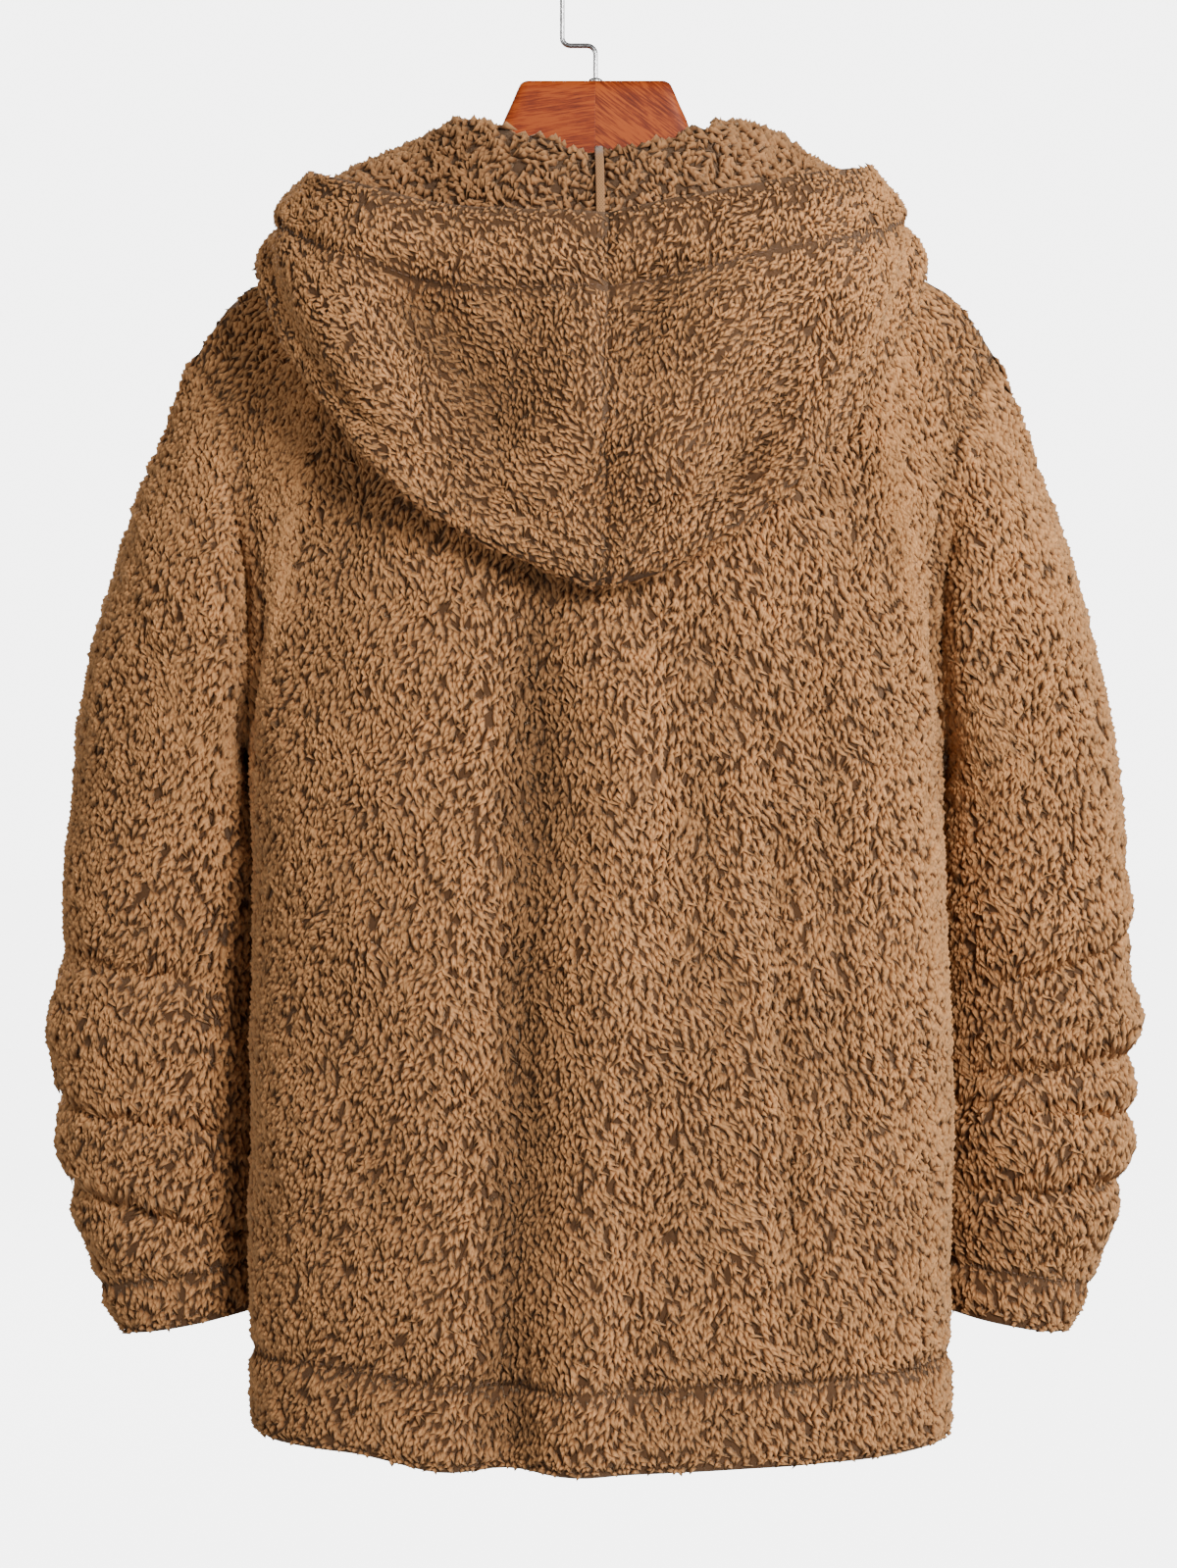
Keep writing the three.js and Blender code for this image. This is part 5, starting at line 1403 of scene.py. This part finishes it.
class Zip:
    """The front zip: its two woven tapes and its teeth."""

    pitch = 2.7
    tape_half = 0.7

    def __init__(self) -> None:
        """Work out the zip's middle line from the fronts' edges."""
        level = np.concatenate([np.linspace(0.012, 1, 120), np.linspace(1, 1.985, 60)[1:]])
        edge = body_point(FRONT, 1, np.zeros(len(level)), level)
        self.line = edge - np.array([ZIP_HALF, 0, 0])

    def _frame(self, at: Array) -> tuple[Array, Array, Array]:
        """Return points of the line at fractional indices, its direction up and its direction out."""
        index = np.arange(len(self.line))
        point = np.stack([np.interp(at, index, self.line[:, k]) for k in range(3)], 1)
        ahead = np.stack([np.interp(at + 0.5, index, self.line[:, k]) for k in range(3)], 1)
        behind = np.stack([np.interp(at - 0.5, index, self.line[:, k]) for k in range(3)], 1)
        up = unit(ahead - behind)
        out = unit(np.cross(np.array([1.0, 0, 0]), up))
        return point, up, out

    def tape(self, hand: int) -> Mesh:
        """Return one tape: a flat strip with a corded inner edge."""
        at, _ = evenly(self.line, 5.0)
        point, _, out = self._frame(at)
        angle = np.linspace(0, 2 * math.pi, 20, endpoint=False)
        x = 5.35 + 4.7 * np.sign(np.cos(angle)) * np.abs(np.cos(angle)) ** 0.35
        cord = 1 + 0.5 * bell(x - 1.4, 0.9)
        depth = self.tape_half * cord * np.sign(np.sin(angle)) * np.abs(np.sin(angle)) ** 0.5
        ring = point[:, None] + hand * x[None, :, None] * np.array([1.0, 0, 0]) + out[:, None] * depth[None, :, None]
        return tube_mesh(ring)

    def teeth(self) -> Mesh:
        """Return the teeth, which reach past the middle from each tape in turn."""
        at, _ = evenly(self.line[2:-4], self.pitch / 2)
        at = at[1:] + 2
        point, up, out = self._frame(at)
        hand = np.where(np.arange(len(at)) % 2 == 0, 1.0, -1.0)[:, None]
        side = np.array([1.0, 0, 0]) * hand
        stem = beads(point + side * 1.5, side, up, out, (1.9, 0.72, 1.35), 2, 4)
        head = beads(point - side * 0.1, up, side, out, (0.95, 0.8, 1.2), 3, 4)
        return joined([stem, head])

    def build(self) -> None:
        """Make the tapes and teeth, and finish the slider, pull and box of the solid part."""
        for hand, name in ((1, "left"), (-1, "right")):
            tape = Piece(f"zip_{name}_woven_tape", self.tape(hand), [ZIP_TAPE], [f"zip_tape_{name}"])
        Piece("zip_teeth_rows", self.teeth(), [TEETH])
        for name in ("zip_slider", "zip_pull", "zip_box"):
            node = bpy.data.objects[name]
            node.data.materials.clear()
            node.data.materials.append(ZIP_METAL.material())
            log.info("%s: finished", name)


class Hanger:
    """The wooden hanger, its wire hook and the ferrule round the wire."""

    def _half(self, hand: int) -> Mesh:
        """Return one half: rounded-square rings from the joint to the arm's end."""
        x = ARM_DROP.column("x")
        top = SHOULDER.along("z", x) - ARM_SEAT - ARM_DROP.column("drop")
        arm = np.stack([x, top, top - ARM_HEIGHT, np.full(4, ARM_HALF), np.ones(4)], 1)
        tip = [(x[-1] + 3, top[-1] - 4, top[-1] - ARM_HEIGHT + 3, 4.8, 1), (x[-1] + 5, top[-1] - 9, top[-1] - 19, 3, 1)]
        shape = Table("x top bottom half square", *HANGER.rows, *arm, *tip)
        key = shape.column("x")
        at = np.concatenate([[key[0], 0.25, 0.5, 2], np.linspace(8, 40, 5), np.linspace(41, 75, 34), np.linspace(78, key[-1], 40)])
        rows = np.stack([np.interp(at, key, shape.column(n)) for n in ("top", "bottom", "half", "square")])
        curved = np.stack([shape.along(n, at) for n in ("top", "bottom", "half", "square")])
        top, bottom, half, square = np.where(at > 41, (rows + curved) / 2, rows)[..., None]
        shrink = np.where(at < 0.2, 0.997, 1.0)[:, None]
        angle = np.linspace(0, 2 * math.pi, 48, endpoint=False)[None]
        y = half * shrink * np.sign(np.sin(angle)) * np.abs(np.sin(angle)) ** square
        z = (top + bottom) / 2 + (top - bottom) / 2 * shrink * np.sign(np.cos(angle)) * np.abs(np.cos(angle)) ** square
        return tube_mesh(np.stack([hand * np.broadcast_to(at[:, None], y.shape), y, z], 2))

    def _wire(self) -> Mesh:
        """Return the hook: over the top, down, across the jog on two quarter bends, and into the wood."""
        centre = -(HOOK_RADIUS - WIRE)
        over = np.radians(np.linspace(184, 0, 60))
        arc = np.stack([HOOK_RADIUS * np.cos(over), centre + HOOK_RADIUS * np.sin(over)], 1)
        quarter = np.linspace(0, math.pi / 2, 9)
        first = np.stack([HOOK_RADIUS - BEND + BEND * np.cos(quarter), JOG_Z + BEND - BEND * np.sin(quarter)], 1)
        second = np.stack([BEND - BEND * np.sin(quarter), JOG_Z - BEND + BEND * np.cos(quarter)], 1)
        line = np.concatenate([arc, first, second, [(0, -68), (0, WOOD_TOP - 8)]])
        way = unit(np.gradient(line, axis=0))
        normal = np.stack([way[:, 1], -way[:, 0]], 1)
        angle = np.linspace(0, 2 * math.pi, 20, endpoint=False)
        radius = np.full(len(line), WIRE)
        radius[:3] = WIRE * np.array([0.45, 0.8, 0.95])
        cos, sin = np.cos(angle)[None] * radius[:, None], np.sin(angle)[None] * radius[:, None]
        x = line[:, :1] + normal[:, :1] * cos
        z = line[:, 1:] + normal[:, 1:] * cos
        return tube_mesh(np.stack([x, sin, z], 2))

    def _ferrule(self) -> Mesh:
        """Return the ferrule: a small domed collar turned round the wire."""
        profile = np.array([(1.7, -0.1), (4.3, -0.1), (4.5, 0.3), (4.5, 1.1), (4.1, 1.6), (3.0, 2.3), (1.9, 2.6), (1.7, 2.3)])
        angle = np.linspace(0, 2 * math.pi, 40, endpoint=False)[:, None]
        x, y = profile[None, :, 0] * np.cos(angle), profile[None, :, 0] * np.sin(angle)
        z = np.broadcast_to(profile[None, :, 1] + WOOD_TOP + 0.3, x.shape)
        points = np.stack([x, y, z], 2)
        faces, places = grid_faces(8, 40, True)
        mesh = Mesh(points.transpose(1, 0, 2).reshape(-1, 3), faces, places)
        close = np.stack([7 * 40 + np.arange(40), 7 * 40 + (np.arange(40) + 1) % 40, (np.arange(40) + 1) % 40, np.arange(40)], 1)
        return Mesh(mesh.points, np.concatenate([faces, close])[:, ::-1], np.concatenate([places, places[:40]])[:, ::-1])

    def build(self) -> None:
        """Make the hanger's pieces."""
        Piece("hanger_left_wood", self._half(1), [WOOD_LEFT], ["hanger_left"], crease=60)
        Piece("hanger_right_wood", self._half(-1), [WOOD_RIGHT], ["hanger_right"], crease=60)
        Piece("hook_wire", self._wire(), [WIRE_STEEL], ["hook"])
        Piece("hook_collar", self._ferrule(), [COLLAR_STEEL], ["hook_ferrule"], crease=50)


class Studio:
    """Soft light, a pale floor and the camera behind the jacket."""

    eye = (0.0041, 1.888, -0.4946)
    floor_z = -1.15
    ambient = 0.15
    paper = 5.4  # how bright the background and floor look

    def _lamp(self, name: str, place: tuple[float, float, float], size: float, power: float) -> None:
        """Hang a round soft light that faces the jacket's middle."""
        data = bpy.data.lights.new(name, "AREA")
        data.shape, data.size, data.energy = "DISK", size, power
        lamp = bpy.data.objects.new(name, data)
        lamp.location = place
        way = np.array([0.0, 0.0, -0.45]) - np.array(place)
        lamp.rotation_euler = (math.atan2(math.hypot(way[0], way[1]), -way[2]), 0, math.atan2(way[0], -way[1]) + math.pi)
        bpy.context.collection.objects.link(lamp)

    def build(self) -> None:
        """Make the lights, world, floor and camera."""
        self._lamp("soft_key", (-1.10, 2.45, 0.22), 0.9, 92)
        self._lamp("side_light", (-2.20, 0.80, 0.35), 0.9, 26)
        self._lamp("soft_fill", (1.90, 1.60, 0.10), 1.6, 14)
        self._lamp("front_key", (1.1, -2.3, 0.8), 1.3, 95)
        world = bpy.data.worlds.new("studio")
        bpy.context.scene.world = world
        world.use_nodes = True
        nodes, links = world.node_tree.nodes, world.node_tree.links
        nodes.clear()
        output = nodes.new("ShaderNodeOutputWorld")
        soft, seen, blend, path = (
            nodes.new("ShaderNode" + kind) for kind in ("Background", "Background", "MixShader", "LightPath")
        )
        soft.inputs[0].default_value, soft.inputs[1].default_value = (1, 1, 1, 1), self.ambient
        seen.inputs[0].default_value, seen.inputs[1].default_value = (1, 1, 1, 1), self.paper
        links.new(path.outputs["Is Camera Ray"], blend.inputs[0])
        links.new(soft.outputs[0], blend.inputs[1])
        links.new(seen.outputs[0], blend.inputs[2])
        links.new(blend.outputs[0], output.inputs[0])
        angle = np.linspace(0, 2 * math.pi, 96, endpoint=False)
        rings = np.array([0.0, 400.0, 1500.0, 5000.0, 20000.0])[:, None]
        points = np.stack([rings * np.cos(angle), rings * np.sin(angle), np.full((5, 96), self.floor_z / MM)], 2)
        faces, places = grid_faces(5, 96, True)
        data = bpy.data.meshes.new("floor")
        data.from_pydata((points.reshape(-1, 3) * MM).tolist(), [], faces[:, ::-1].tolist())
        data.materials.append(FloorFinish().material())
        floor = bpy.data.objects.new("floor", data)
        bpy.context.collection.objects.link(floor)
        camera = bpy.data.objects.new("camera", bpy.data.cameras.new("camera"))
        camera.data.lens, camera.data.sensor_width = 72.05, 36
        camera.location = self.eye
        camera.rotation_euler = (math.pi / 2, 0, math.pi)
        bpy.context.collection.objects.link(camera)
        bpy.context.scene.camera = camera


def main() -> None:
    """Build the jacket, its zip, the hanger and the studio."""
    logging.basicConfig(level=logging.INFO, format="%(message)s")
    Jacket().build()
    Zip().build()
    Hanger().build()
    Studio().build()


if __name__ == "__main__":
    main()
